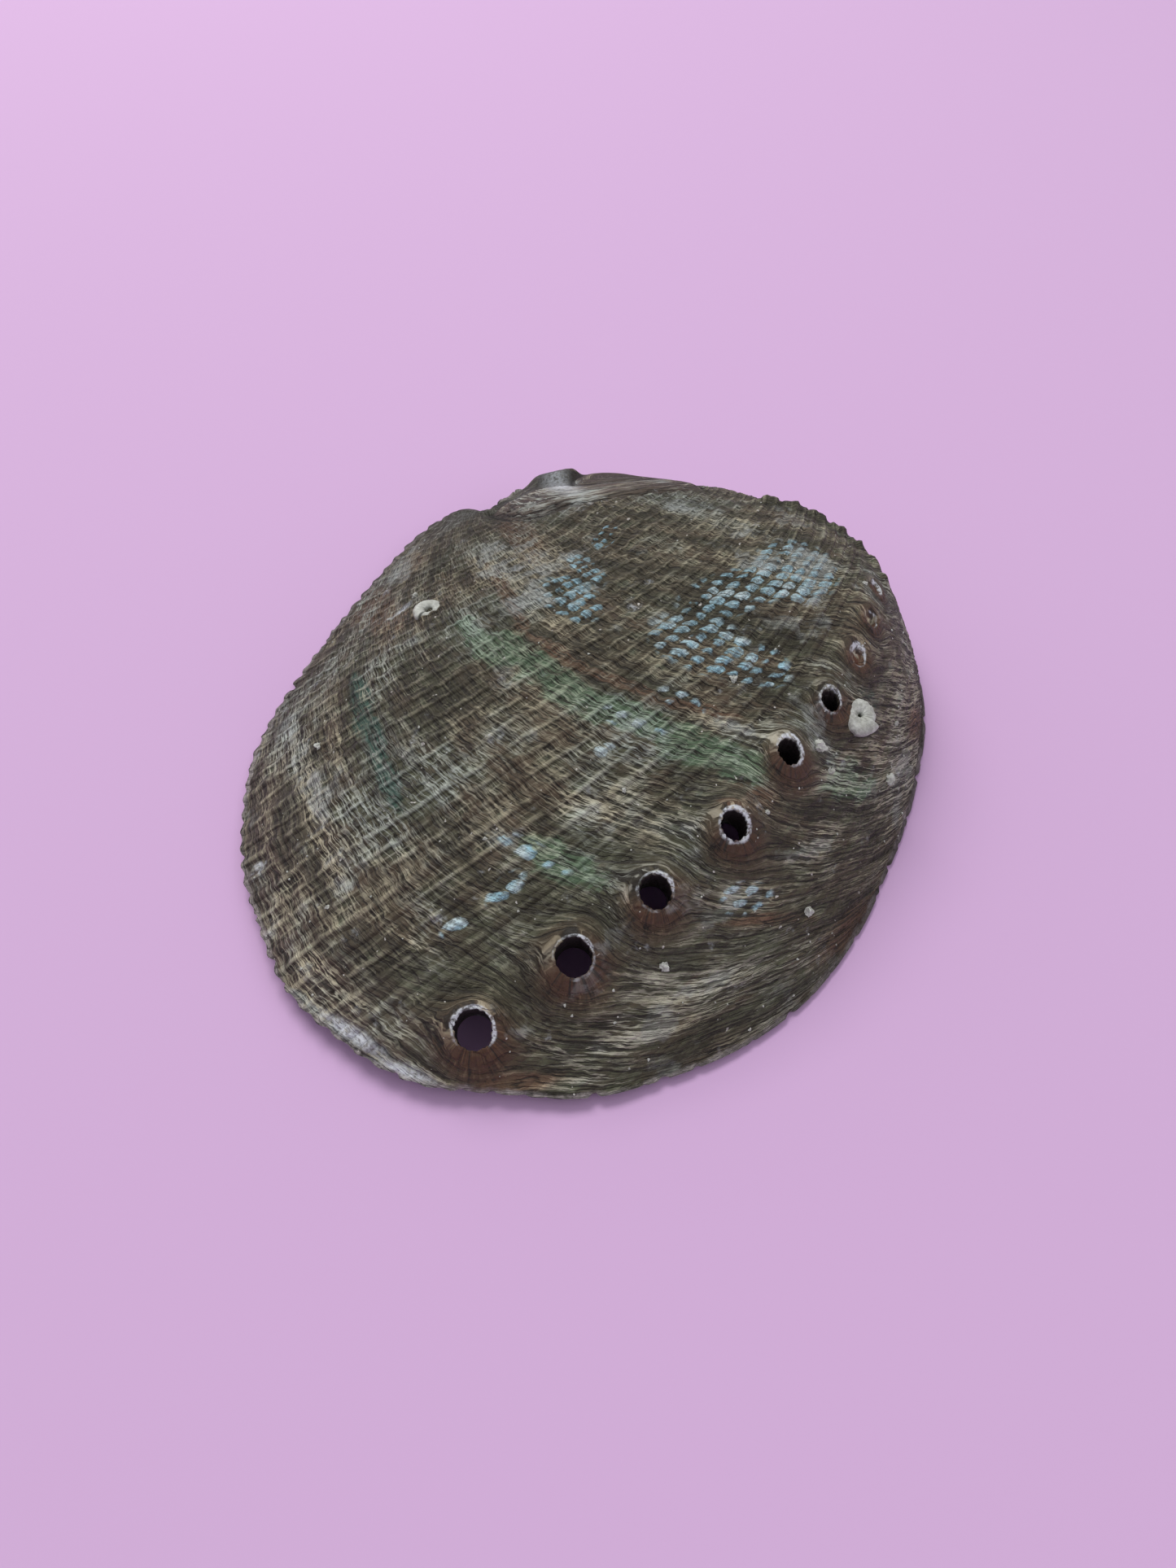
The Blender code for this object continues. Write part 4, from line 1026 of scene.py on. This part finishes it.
class Finish(Nodes):
    """Node shorthand for a material: reads the facts kept on the surface and mixes colours."""

    def __init__(self, name):
        self.material = bpy.data.materials.new(name)
        self.material.use_nodes = True
        super().__init__(self.material.node_tree)
        self.shader = self.tree.nodes["Principled BSDF"]

    def fact(self, name):
        node = self.tree.nodes.new("ShaderNodeAttribute")
        node.attribute_name = name
        return node.outputs["Fac"]

    def place(self):
        return self.tree.nodes.new("ShaderNodeTexCoord").outputs["Object"]

    def mix(self, share, a, b, blend="MIX"):
        node = self.tree.nodes.new("ShaderNodeMix")
        node.data_type = "RGBA"
        node.blend_type = blend
        self.put(share, node.inputs["Factor"])
        for value, socket in ((a, node.inputs[6]), (b, node.inputs[7])):
            self.put((*value, 1.0) if isinstance(value, tuple) and len(value) == 3 else value, socket)
        return node.outputs[2]

    def group(self, tree, **inputs):
        node = self.tree.nodes.new("ShaderNodeGroup")
        node.node_tree = tree
        for name, value in inputs.items():
            self.put(value, node.inputs[name.replace("_", " ")])
        return node.outputs

    def bump(self, height, distance, strength=1.0, normal=None):
        node = self.tree.nodes.new("ShaderNodeBump")
        self.put(height, node.inputs["Height"])
        node.inputs["Distance"].default_value = distance
        node.inputs["Strength"].default_value = strength
        if normal is not None:
            self.tree.links.new(normal, node.inputs["Normal"])
        return node.outputs["Normal"]

    def finish(self, colour, roughness, normal, specular=0.5):
        self.put(colour, self.shader.inputs["Base Color"])
        self.put(roughness, self.shader.inputs["Roughness"])
        self.put(normal, self.shader.inputs["Normal"])
        self.shader.inputs["Specular IOR Level"].default_value = specular
        return self.material


def shader_group(name, inputs, outputs):
    tree = bpy.data.node_groups.new(name, "ShaderNodeTree")
    for label, kind, value in inputs:
        socket = tree.interface.new_socket(label, in_out="INPUT", socket_type=kind)
        if value is not None:
            socket.default_value = value
    for label, kind in outputs:
        tree.interface.new_socket(label, in_out="OUTPUT", socket_type=kind)
    return tree, tree.nodes.new("NodeGroupInput").outputs, tree.nodes.new("NodeGroupOutput").inputs


def growth_lines_group():
    """Fine wavy lines that follow the growth of a shell, in short lengths across each rib."""
    tree, given, result = shader_group("growth_lines", [
        ("Across", "NodeSocketFloat", 0.0),
        ("Along", "NodeSocketFloat", 0.0),
        ("Place", "NodeSocketVector", None),
        ("Waver", "NodeSocketFloat", 0.25),
    ], [("Lines", "NodeSocketFloat"), ("Long lines", "NodeSocketFloat"), ("Strands", "NodeSocketFloat"),
        ("Broad lines", "NodeSocketFloat"), ("Grooves", "NodeSocketFloat"), ("Bands", "NodeSocketFloat")])
    n = Nodes(tree)
    sway = n.math("SUBTRACT", n.noise(given["Place"], 420.0, 3.0, 0.6), 0.5)
    along = n.plus(given["Along"], n.times(sway, given["Waver"], 2.0))
    across = given["Across"]
    strands = n.noise(n.vector(n.times(across, 0.36), n.times(along, 2.0), 5.0), 1.0, 3.0, 0.6)
    broad = n.noise(n.vector(n.times(across, 0.3), n.times(along, 1.25), 7.0), 1.0, 2.0, 0.55)
    n.put(n.noise(n.vector(n.times(across, 0.5), n.times(along, 5.6)), 1.0, 3.0, 0.65), result["Lines"])
    n.put(n.noise(n.vector(n.times(across, 0.2), n.times(along, 3.2), 2.0), 1.0, 3.0, 0.65), result["Long lines"])
    n.put(n.ramp(n.math("ABSOLUTE", n.math("SUBTRACT", strands, 0.5)), 0.05, 0.012), result["Strands"])
    n.put(broad, result["Broad lines"])
    n.put(n.ramp(n.math("ABSOLUTE", n.math("SUBTRACT", broad, 0.46)), 0.035, 0.006), result["Grooves"])
    n.put(n.noise(n.vector(n.times(across, 0.12), n.times(along, 0.3), 3.0), 1.0, 3.0, 0.6), result["Bands"])
    return tree


def cords_group():
    """The ribs, finer ribs and beads of the relief again, for colours and for relief finer than the mesh."""
    tree, given, result = shader_group("cords", [
        ("Across", "NodeSocketFloat", 0.0),
        ("Along", "NodeSocketFloat", 0.0),
        ("Bead length", "NodeSocketFloat", BEAD_LENGTH),
    ], [("Crest", "NodeSocketFloat"), ("Fine crest", "NodeSocketFloat"), ("Beads", "NodeSocketFloat")])
    n = Nodes(tree)
    crest, fine, bead, _ = cord_pattern(n, given["Across"], given["Along"], given["Bead length"])
    n.put(crest, result["Crest"])
    n.put(fine, result["Fine crest"])
    n.put(bead, result["Beads"])
    return tree


def weathering_group():
    """Chalky wear in patches, fine grain and scattered pale specks."""
    tree, given, result = shader_group("weathering", [
        ("Place", "NodeSocketVector", None),
        ("Patch scale", "NodeSocketFloat", 150.0),
        ("Grain scale", "NodeSocketFloat", 2500.0),
    ], [("Patches", "NodeSocketFloat"), ("Grain", "NodeSocketFloat"), ("Specks", "NodeSocketFloat")])
    n = Nodes(tree)
    patches = n.noise(given["Place"], given["Patch scale"], 5.0, 0.62)
    grain = n.noise(given["Place"], given["Grain scale"], 3.0, 0.6)
    specks = n.noise(given["Place"], 1700.0, 1.0, 0.4)
    n.put(n.ramp(patches, 0.45, 0.68), result["Patches"])
    n.put(grain, result["Grain"])
    n.put(n.ramp(specks, 0.76, 0.8), result["Specks"])
    return tree


def patchy(f, zone, mottle, most):
    """A zone with a broken edge and gaps, as a share up to the most given."""
    share = f.plus(f.fact(zone), f.times(f.math("SUBTRACT", mottle, 0.5), 2.2))
    return f.ramp(share, 0.25, 0.75, 0.0, most)


def weathered_shell(lines, weathering, cords):
    """The outside: an olive-brown ground, pale growth lines, blue beads, green bands and worn patches."""
    f = Finish("weathered_shell")
    rib = f.fact("rib")
    path = f.fact("path")
    place = f.place()
    shape = f.group(cords, Across=rib, Along=path)
    growth = f.group(lines, Across=rib, Along=path, Place=place, Waver=0.22)
    wear = f.group(weathering, Place=place, Patch_scale=170.0, Grain_scale=2600.0)
    fanned = f.fact("fanned")
    straight = f.math("SUBTRACT", 1.0, fanned)
    hairs = f.noise(f.vector(f.times(f.fact("fan"), 4.2), f.times(path, 0.5), 4.0), 1.0, 3.0, 0.6)
    flowing = f.fact("flowing")
    fine = f.plus(f.times(growth["Lines"], f.math("SUBTRACT", 1.0, flowing)), f.times(growth["Long lines"], flowing))
    fine = f.plus(f.times(fine, straight), f.times(hairs, fanned))
    tint = f.noise(place, 75.0, 4.0, 0.65)
    mottle = f.noise(place, 260.0, 4.0, 0.65)
    tone = f.noise(f.vector(f.times(rib, 0.95), f.times(path, 0.5), 9.0), 1.0, 3.0, 0.6)
    ribbed = f.fact("ribbed")
    flank = f.fact("flank")

    ground = f.mix(f.ramp(growth["Bands"], 0.35, 0.65), DARK_OLIVE, WARM_BROWN)
    ground = f.mix(f.ramp(f.plus(f.times(tint, 0.5), f.times(tone, 0.5)), 0.43, 0.6, 0.0, 0.85), ground, GREY_GREEN)
    ground = f.mix(f.times(f.fact("lip"), 0.6), ground, PURPLE_BROWN)
    ground = f.mix(patchy(f, "green", tone, 0.75), ground, MOSS_GREEN)
    # Teal patches; the one above the right worm tube is partly painted shade standing in for a dark pit.
    ground = f.mix(patchy(f, "teal", tone, 0.75), ground, DEEP_TEAL)
    ground = f.mix(patchy(f, "rust", tone, 0.7), ground, RUST_BROWN)
    ground = f.mix(f.times(flank, f.ramp(mottle, 0.42, 0.6), 0.6), ground, FLANK_BROWN)
    ground = f.mix(f.times(f.fact("spire"), 0.6), ground, SPIRE_BROWN)
    ground = f.mix(f.times(f.fact("halo"), 0.95), ground, FIBRE_BROWN)
    ground = f.mix(f.times(f.fact("pit"), 0.85), ground, PIT_BROWN)

    ridges = f.plus(f.times(shape["Crest"], 0.6), f.times(shape["Fine crest"], 0.4))
    mesh = f.math("MAXIMUM", f.ramp(shape["Crest"], 0.9, 0.985), f.times(f.ramp(shape["Fine crest"], 0.92, 0.99), 0.7))
    crest = f.times(mesh, f.ramp(tone, 0.42, 0.58), ribbed, f.math("SUBTRACT", 1.0, flowing))
    groove = f.times(f.ramp(ridges, 0.36, 0.12), ribbed)
    paler = f.plus(f.times(f.ramp(tint, 0.4, 0.62), 0.18), f.times(f.ramp(growth["Bands"], 0.44, 0.57), 0.28),
                   f.times(f.ramp(tone, 0.44, 0.62), 0.2), f.times(f.fact("hairy"), 0.08),
                   f.times(f.fact("pale"), 0.5), f.times(f.fact("swirl"), 0.6), f.times(f.fact("green"), 0.32))
    paler = f.plus(paler, f.times(flank, -0.12))
    early = f.ramp(f.fact("size"), 0.03, 0.16)
    quiet = f.times(f.plus(1.0, f.times(f.fact("halo"), -0.5)), early)
    threads = f.ramp(f.plus(fine, f.times(paler, 0.08)), 0.59, 0.65)
    strands = f.times(growth["Strands"], straight)
    surface = f.mix(f.times(f.ramp(fine, 0.5, 0.39), 0.88), ground, SHADOW_BROWN)
    surface = f.mix(f.times(growth["Grooves"], straight, 0.8), surface, SHADOW_BROWN)
    surface = f.mix(f.times(groove, 0.6), surface, SHADOW_BROWN)
    warm = f.math("MAXIMUM", f.times(f.fact("halo"), f.plus(1.0, f.times(f.fact("swirl"), -0.5))),
                  f.times(f.fact("rust"), flank, 0.8))
    cool = f.times(f.ramp(tint, 0.44, 0.64), f.plus(1.0, f.times(flank, -0.6)))
    thread_colour = f.mix(cool, PALE_THREAD, COOL_THREAD)
    thread_colour = f.mix(patchy(f, "green", tone, 0.6), thread_colour, GREEN_THREAD)
    thread_colour = f.mix(warm, thread_colour, ORANGE_THREAD)
    surface = f.mix(f.times(threads, f.ramp(paler, 0.0, 1.0, 0.05, 0.78), quiet), surface, thread_colour)
    surface = f.mix(f.times(strands, f.ramp(paler, 0.0, 1.0, 0.03, 0.7), quiet), surface, thread_colour)
    surface = f.mix(f.times(crest, f.ramp(paler, 0.0, 1.0, 0.12, 0.5)), surface, thread_colour)

    uneven = f.plus(f.times(f.math("SUBTRACT", mottle, 0.5), 2.6), f.times(f.math("SUBTRACT", tone, 0.5), 2.0))
    cells = f.ramp(f.plus(shape["Beads"], uneven), 0.45, 0.8)
    worn = f.ramp(f.plus(fine, f.times(wear["Grain"], 0.6)), 0.64, 0.88, 0.28, 1.0)
    bead = f.times(f.ramp(f.fact("blue"), 0.1, 0.45), cells, worn)
    bead_colour = f.mix(f.ramp(f.plus(f.times(tint, 0.5), f.times(mottle, 0.5)), 0.44, 0.56), BEAD_BLUE, BEAD_GREY)
    surface = f.mix(bead, surface, bead_colour)
    streaks = f.ramp(f.plus(fine, f.times(growth["Strands"], 0.3)), 0.38, 0.66, 0.2, 1.0)
    chalk = f.ramp(f.plus(f.times(f.fact("pale"), 0.8), wear["Patches"], f.times(tone, 0.8)), 1.05, 1.75)
    chalk = f.times(chalk, early)
    surface = f.mix(f.times(chalk, streaks, f.plus(0.7, f.times(flank, -0.3))), surface, CHALK_GREY)
    smear = f.times(f.fact("smear"), f.ramp(f.plus(wear["Grain"], f.times(fine, 0.5)), 0.55, 0.85, 0.25, 0.95))
    surface = f.mix(smear, surface, CHIPPED_WHITE)
    ring = f.ramp(f.plus(f.fact("ring"), f.times(f.math("SUBTRACT", mottle, 0.5), 2.6)), 0.3, 0.8)
    surface = f.mix(f.times(ring, f.ramp(wear["Grain"], 0.38, 0.54, 0.15, 0.9)), surface, CHIPPED_WHITE)
    edge = f.ramp(f.plus(f.fact("edge"), f.times(f.math("SUBTRACT", mottle, 0.5), 1.8)), 0.35, 0.9)
    surface = f.mix(f.times(edge, f.ramp(wear["Grain"], 0.3, 0.6, 0.4, 0.9)), surface, WORN_EDGE)
    surface = f.mix(f.times(wear["Specks"], 0.75), surface, SPECK_WHITE)
    surface = f.mix(f.times(f.fact("suture"), 0.85), surface, SHADOW_BROWN)
    # Painted shade: the walls of the breathing holes are made near black, standing in for the shadow inside them.
    surface = f.mix(f.fact("bore"), surface, BORE_PAINTED_SHADE)

    height = f.plus(fine, f.times(growth["Broad lines"], 1.4), f.times(wear["Grain"], 0.4), f.times(bead, 0.5),
                    f.times(strands, 0.3), f.times(crest, 0.4), f.times(growth["Grooves"], -0.5))
    height = f.plus(height, f.times(shape["Fine crest"], f.fact("fine_ribbed"), f.fact("size"), 0.8))
    normal = f.bump(height, 0.0003, 1.0)
    roughness = f.plus(f.ramp(wear["Grain"], 0.3, 0.7, 0.58, 0.82), f.times(chalk, 0.1))
    return f.finish(surface, roughness, normal, 0.4)


def mother_of_pearl(weathering):
    """The inside: pale pearl that turns from pink to green and blue in soft bands."""
    f = Finish("mother_of_pearl")
    place = f.place()
    wear = f.group(weathering, Place=place, Patch_scale=80.0, Grain_scale=1200.0)
    swirl = f.noise(place, 55.0, 4.0, 0.6, 1.6)
    colour = f.mix(f.ramp(swirl, 0.35, 0.6), PEARL_PINK, PEARL_GREEN)
    bands = f.noise(place, 38.0, 3.0, 0.6, 0.9)
    colour = f.mix(f.ramp(bands, 0.45, 0.65), colour, PEARL_BLUE)
    colour = f.mix(f.times(wear["Patches"], 0.5), colour, PEARL_WHITE)
    colour = f.mix(f.times(f.fact("edge"), 0.8), colour, WARM_BROWN)
    normal = f.bump(f.plus(bands, f.times(swirl, 2.0)), 0.0003, 0.5)
    f.shader.inputs["Coat Weight"].default_value = 0.4
    f.shader.inputs["Coat Roughness"].default_value = 0.2
    f.shader.inputs["Metallic"].default_value = 0.35
    return f.finish(colour, f.ramp(swirl, 0.3, 0.7, 0.22, 0.36), normal, 0.6)


def chalk_tube(weathering):
    """The worm tubes: dull chalky white, ringed along their length, with dirt in patches and painted shade deep inside
    the hollow mouth.
    """
    f = Finish("chalk_tube")
    place = f.place()
    wear = f.group(weathering, Place=place, Patch_scale=900.0, Grain_scale=5200.0)
    rings = f.noise(place, 1500.0, 3.0, 0.7)
    colour = f.mix(f.ramp(rings, 0.35, 0.65), CHALK_SHADE, CHALK_LIGHT)
    colour = f.mix(f.times(wear["Patches"], 0.35), colour, CHALK_DIRT_AND_SHADE)
    # Painted shade: the inside of the hollow mouth is darkened the deeper it goes, as if in shadow.
    colour = f.mix(f.times(f.fact("mouth"), 0.75), colour, CHALK_DIRT_AND_SHADE)
    normal = f.bump(f.plus(rings, f.times(wear["Grain"], 0.5)), 0.00012, 0.8)
    return f.finish(colour, f.ramp(wear["Grain"], 0.3, 0.7, 0.65, 0.9), normal, 0.35)


def add_piece(name, mesh):
    piece = bpy.data.objects.new(name, mesh)
    bpy.context.scene.collection.objects.link(piece)
    return piece


def add_shell(surface, lining):
    points, faces, lined, outer_count, inner_count = shell_surface()
    mesh = mesh_from("abalone_shell", points, faces)
    for name, values in shell_facts(points, outer_count, inner_count).items():
        add_fact(mesh, name, values)
    add_fact(mesh, "lining", lined, "FACE")
    shell = grown(add_piece("abalone_shell", mesh), growth_relief_tree(), {
        "Rib height": RIB_RELIEF, "Fine rib height": FINE_RIB_RELIEF,
        "Fold height": FOLD_RELIEF, "Step height": STEP_RELIEF,
        "Bead height": BEAD_RELIEF, "Bead length": BEAD_LENGTH, "Grain height": GRAIN_RELIEF,
        "Surface": surface, "Lining": lining,
    })
    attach(shell, "root")
    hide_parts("shell")
    return shell


def worm_tube_tree():
    """A tapering tube wound once round itself, with a hollow mouth, in millimetres about its own middle."""
    tree, given, result = tree_with("worm_tube", [
        ("Mouth radius", "NodeSocketFloat", 0.8),
        ("Tip radius", "NodeSocketFloat", 0.3),
        ("Coil radius", "NodeSocketFloat", 1.1),
        ("Winding in", "NodeSocketFloat", 0.3),
        ("Sweep", "NodeSocketFloat", 6.0),
        ("Wall", "NodeSocketFloat", 0.25),
        ("Mouth depth", "NodeSocketFloat", 0.12),
        ("Flattening", "NodeSocketFloat", 0.8),
        ("Ring height", "NodeSocketFloat", 0.1),
        ("Foot", "NodeSocketFloat", 0.0),
        ("Surface", "NodeSocketMaterial", None),
    ])
    n = Relief(tree)
    inputs = given.outputs
    tube = tree.nodes.new("GeometryNodeMeshCylinder")
    tube.fill_type = "TRIANGLE_FAN"
    for name, value in (("Vertices", TUBE_SIDES), ("Side Segments", TUBE_STEPS), ("Radius", 1.0), ("Depth", 1.0)):
        n.put(value, tube.inputs[name])
    split = tree.nodes.new("ShaderNodeSeparateXYZ")
    n.put(n.add("GeometryNodeInputPosition", "Position"), split.inputs[0])
    x, y, z = split.outputs
    along = n.math("ADD", z, 0.5)
    round_it = n.math("ARCTAN2", y, x)
    reach = n.math("MINIMUM", n.math("SQRT", n.plus(n.times(x, x), n.times(y, y))), 1.0)
    hollow = n.math("LESS_THAN", along, TUBE_HOLLOW)
    outer = n.math("DIVIDE", n.math("SUBTRACT", along, TUBE_HOLLOW), 1.0 - TUBE_HOLLOW)
    inner = n.times(n.math("DIVIDE", n.math("SUBTRACT", TUBE_HOLLOW, along), TUBE_HOLLOW), inputs["Mouth depth"])
    share = n.plus(n.times(inner, hollow), n.times(n.math("MAXIMUM", outer, 0.0), n.math("SUBTRACT", 1.0, hollow)))
    taper = n.math("SUBTRACT", inputs["Mouth radius"],
                   n.times(share, n.math("SUBTRACT", inputs["Mouth radius"], inputs["Tip radius"])))
    rings = n.noise(n.vector(n.times(share, 26.0), n.times(n.math("COSINE", round_it), 0.6)), 1.0, 2.0, 0.6)
    lumps = n.times(n.math("SUBTRACT", rings, 0.5), inputs["Ring height"], 2.0, n.math("SUBTRACT", 1.0, hollow))
    radius = n.plus(n.math("SUBTRACT", taper, n.times(hollow, inputs["Wall"])), lumps)
    turn = n.times(share, inputs["Sweep"], -1.0)
    out = n.times(inputs["Coil radius"], n.math("SUBTRACT", 1.0, n.times(share, inputs["Winding in"])))
    beside = n.plus(out, n.times(radius, reach, n.math("COSINE", round_it)))
    rise = n.math("SINE", round_it)
    below = n.times(n.math("MAXIMUM", n.times(rise, -1.0), 0.0), reach, inputs["Foot"])
    above = n.times(n.plus(n.times(radius, reach, rise), taper), inputs["Flattening"])
    above = n.math("SUBTRACT", above, below)
    place = n.vector(n.times(beside, n.math("COSINE", turn)), n.times(beside, n.math("SINE", turn)), above)
    move = tree.nodes.new("GeometryNodeSetPosition")
    n.put(place, move.inputs["Position"])
    # The mouth share marks the inside of the hollow mouth, which the chalk finish darkens as painted shade.
    keep = tree.nodes.new("GeometryNodeStoreNamedAttribute")
    keep.data_type = "FLOAT"
    keep.inputs["Name"].default_value = "mouth"
    n.put(tube.outputs["Mesh"], keep.inputs["Geometry"])
    n.put(n.times(hollow, n.ramp(inner, 0.0, 0.06)), keep.inputs["Value"])
    n.put(keep.outputs["Geometry"], move.inputs["Geometry"])
    whole = n.add("GeometryNodeRealizeInstances", "Geometry", Geometry=move.outputs["Geometry"])
    smooth = n.add("GeometryNodeSetShadeSmooth", "Geometry", Geometry=whole)
    dressed = n.add("GeometryNodeSetMaterial", "Geometry", Geometry=smooth, Material=inputs["Surface"])
    tree.links.new(dressed, result.inputs["Geometry"])
    return tree


def lying_on_shell(x, y, turn, lean):
    """The place and tilt of something on the shell: it leans as much of the way to the slope as is given."""
    gx, gy = (share * slope for share, slope in zip(lean, slope_at(x, y)))
    up = Vector((-gx, -gy, 1.0)).normalized()
    along = Vector((1.0, 0.0, gx)).normalized()
    across = up.cross(along)
    frame_of_place = Matrix((along, across, up)).transposed().to_4x4()
    spot = Vector((x, y, float(outer_height(np.array([x]), np.array([y]))[0])))
    sink = Matrix.Translation((0.0, 0.0, -TUBE_SINK))
    return Matrix.Translation(spot) @ frame_of_place @ sink @ Matrix.Rotation(math.radians(turn), 4, "Z")


def add_worm_tubes(chalk):
    tree = worm_tube_tree()
    for node, (x, y, turn, lean, values) in WORM_TUBES.items():
        tube = grown(add_piece(node + "_ringed", bpy.data.meshes.new(node)), tree, {**values, "Surface": chalk})
        tube.data.transform(Matrix.Scale(MM, 4) @ lying_on_shell(x, y, turn, lean))
        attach(tube, "root")
        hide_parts(node)


def crumbs_on(n, points, finest, size, seed, surface):
    """Small rough crumbs on a set of points, each turned its own way, as plain mesh with its material."""
    tree = n.tree
    crumb = tree.nodes.new("GeometryNodeMeshIcoSphere")
    crumb.inputs["Subdivisions"].default_value = finest
    crumb.inputs["Radius"].default_value = 1.0
    squash = tree.nodes.new("GeometryNodeSetPosition")
    n.put(crumb.outputs["Mesh"], squash.inputs["Geometry"])
    rough = n.noise(n.add("GeometryNodeInputPosition", "Position"), 1.3, 2.0, 0.7)
    dent = tree.nodes.new("ShaderNodeVectorMath")
    dent.operation = "SCALE"
    n.put(n.add("GeometryNodeInputPosition", "Position"), dent.inputs[0])
    n.put(n.times(n.math("SUBTRACT", rough, 0.62), 1.6), dent.inputs["Scale"])
    n.put(dent.outputs[0], squash.inputs["Offset"])
    spin = tree.nodes.new("FunctionNodeRandomValue")
    spin.data_type = "FLOAT_VECTOR"
    spin.inputs[1].default_value = (2 * math.pi,) * 3
    n.put(seed, spin.inputs["Seed"])
    place = tree.nodes.new("GeometryNodeInstanceOnPoints")
    n.put(points, place.inputs["Points"])
    n.put(squash.outputs["Geometry"], place.inputs["Instance"])
    n.put(spin.outputs[0], place.inputs["Rotation"])
    n.put(size, place.inputs["Scale"])
    whole = n.add("GeometryNodeRealizeInstances", "Geometry", Geometry=place.outputs["Instances"])
    return n.add("GeometryNodeSetMaterial", "Geometry", Geometry=whole, Material=surface)


def grit_tree():
    """Grit stuck to the surface, more of it where the surface is worn pale."""
    tree, given, result = tree_with("stuck_grit", [
        ("Crumbs per square metre", "NodeSocketFloat", 0.0),
        ("Least size", "NodeSocketFloat", 0.0001),
        ("Greatest size", "NodeSocketFloat", 0.0005),
        ("Seed", "NodeSocketInt", 1),
        ("Surface", "NodeSocketMaterial", None),
    ])
    n = Relief(tree)
    inputs = given.outputs
    spots = tree.nodes.new("GeometryNodeDistributePointsOnFaces")
    n.put(inputs["Geometry"], spots.inputs["Mesh"])
    n.put(n.times(inputs["Crumbs per square metre"], n.fact("gritty")), spots.inputs["Density"])
    n.put(inputs["Seed"], spots.inputs["Seed"])
    size = tree.nodes.new("FunctionNodeRandomValue")
    size.data_type = "FLOAT"
    n.put(inputs["Least size"], size.inputs[2])
    n.put(inputs["Greatest size"], size.inputs[3])
    n.put(inputs["Seed"], size.inputs["Seed"])
    dressed = crumbs_on(n, spots.outputs["Points"], 1, size.outputs[1], inputs["Seed"], inputs["Surface"])
    tree.links.new(dressed, result.inputs["Geometry"])
    return tree


def crumb_tree():
    """Larger crumbs, one on each point that it is given, of the size that the point carries."""
    tree, given, result = tree_with("chalk_crumbs", [
        ("Scale", "NodeSocketFloat", 1.0),
        ("Seed", "NodeSocketInt", 1),
        ("Surface", "NodeSocketMaterial", None),
    ])
    n = Relief(tree)
    inputs = given.outputs
    size = n.times(inputs["Scale"], n.fact("crumb_size"))
    dressed = crumbs_on(n, inputs["Geometry"], 3, size, inputs["Seed"], inputs["Surface"])
    tree.links.new(dressed, result.inputs["Geometry"])
    return tree


def add_grit(shell, chalk):
    """The grit sits on a copy of the shell's finished surface, and the larger crumbs at their own places."""
    grit = grown(add_piece("stuck_grit", shell.data.copy()), grit_tree(), {
        "Crumbs per square metre": GRIT_DENSITY, "Least size": 0.06 * MM, "Greatest size": 0.2 * MM,
        "Seed": 4, "Surface": chalk,
    })
    x, y, size = np.array(CRUMBS).T
    spots = mesh_from("chalk_crumbs", np.column_stack([x, y, outer_height(x, y)]), np.empty((0, 3), int))
    add_fact(spots, "crumb_size", size)
    crumbs = grown(add_piece("chalk_crumbs", spots), crumb_tree(), {"Scale": MM, "Seed": 7, "Surface": chalk})
    for piece in (grit, crumbs):
        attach(piece, "root")


lines = growth_lines_group()
weathering = weathering_group()
chalk = chalk_tube(weathering)
outside = weathered_shell(lines, weathering, cords_group())
shell = add_shell(outside, mother_of_pearl(weathering))
add_worm_tubes(chalk)
add_grit(shell, chalk)


def add_floor():
    mesh = bpy.data.meshes.new("paper_floor")
    s = 1.5
    mesh.from_pydata([(-s, -s, 0), (s, -s, 0), (s, s, 0), (-s, s, 0)], [], [(0, 1, 2, 3)])
    floor = bpy.data.objects.new("paper_floor", mesh)
    bpy.context.scene.collection.objects.link(floor)
    mat = bpy.data.materials.new("pale_paper")
    mat.use_nodes = True
    mat.node_tree.nodes["Principled BSDF"].inputs["Base Color"].default_value = (0.57, 0.375, 0.61, 1.0)
    mat.node_tree.nodes["Principled BSDF"].inputs["Roughness"].default_value = 0.9
    mesh.materials.append(mat)


def add_light(name, place, aim, size, power, colour):
    light = bpy.data.lights.new(name, "AREA")
    light.size = size
    light.energy = power
    light.color = colour
    obj = bpy.data.objects.new(name, light)
    obj.location = place
    obj.rotation_euler = (Vector(aim) - Vector(place)).to_track_quat("-Z", "Y").to_euler()
    bpy.context.scene.collection.objects.link(obj)


def add_camera():
    camera = bpy.data.cameras.new("camera")
    camera.lens = 27.04
    camera.sensor_width = 36.0
    camera.sensor_fit = "AUTO"
    obj = bpy.data.objects.new("camera", camera)
    e = math.radians(47.0)
    target = Vector((-1.079, -12.865, 4.15)) * MM
    back = Vector((0.0, -math.cos(e), math.sin(e)))
    obj.location = target + back * 120.35 * MM
    obj.rotation_euler = back.to_track_quat("Z", "Y").to_euler()
    camera.clip_start = 0.01
    camera.clip_end = 20.0
    bpy.context.scene.collection.objects.link(obj)
    bpy.context.scene.camera = obj


add_floor()
add_light("soft_top_left", (-0.30, 0.56, 0.92), (0, 0, 0), 0.65, 8.8, (1.0, 0.985, 0.95))
add_light("soft_front", (0.55, -0.5, 0.55), (0, 0, 0), 0.6, 1.2, (0.97, 0.98, 1.0))
world = bpy.data.worlds.new("world")
bpy.context.scene.world = world
world.use_nodes = True
world.node_tree.nodes["Background"].inputs["Color"].default_value = (0.9, 0.88, 0.93, 1.0)
world.node_tree.nodes["Background"].inputs["Strength"].default_value = 0.6
bpy.context.scene.view_settings.view_transform = "Standard"
add_camera()
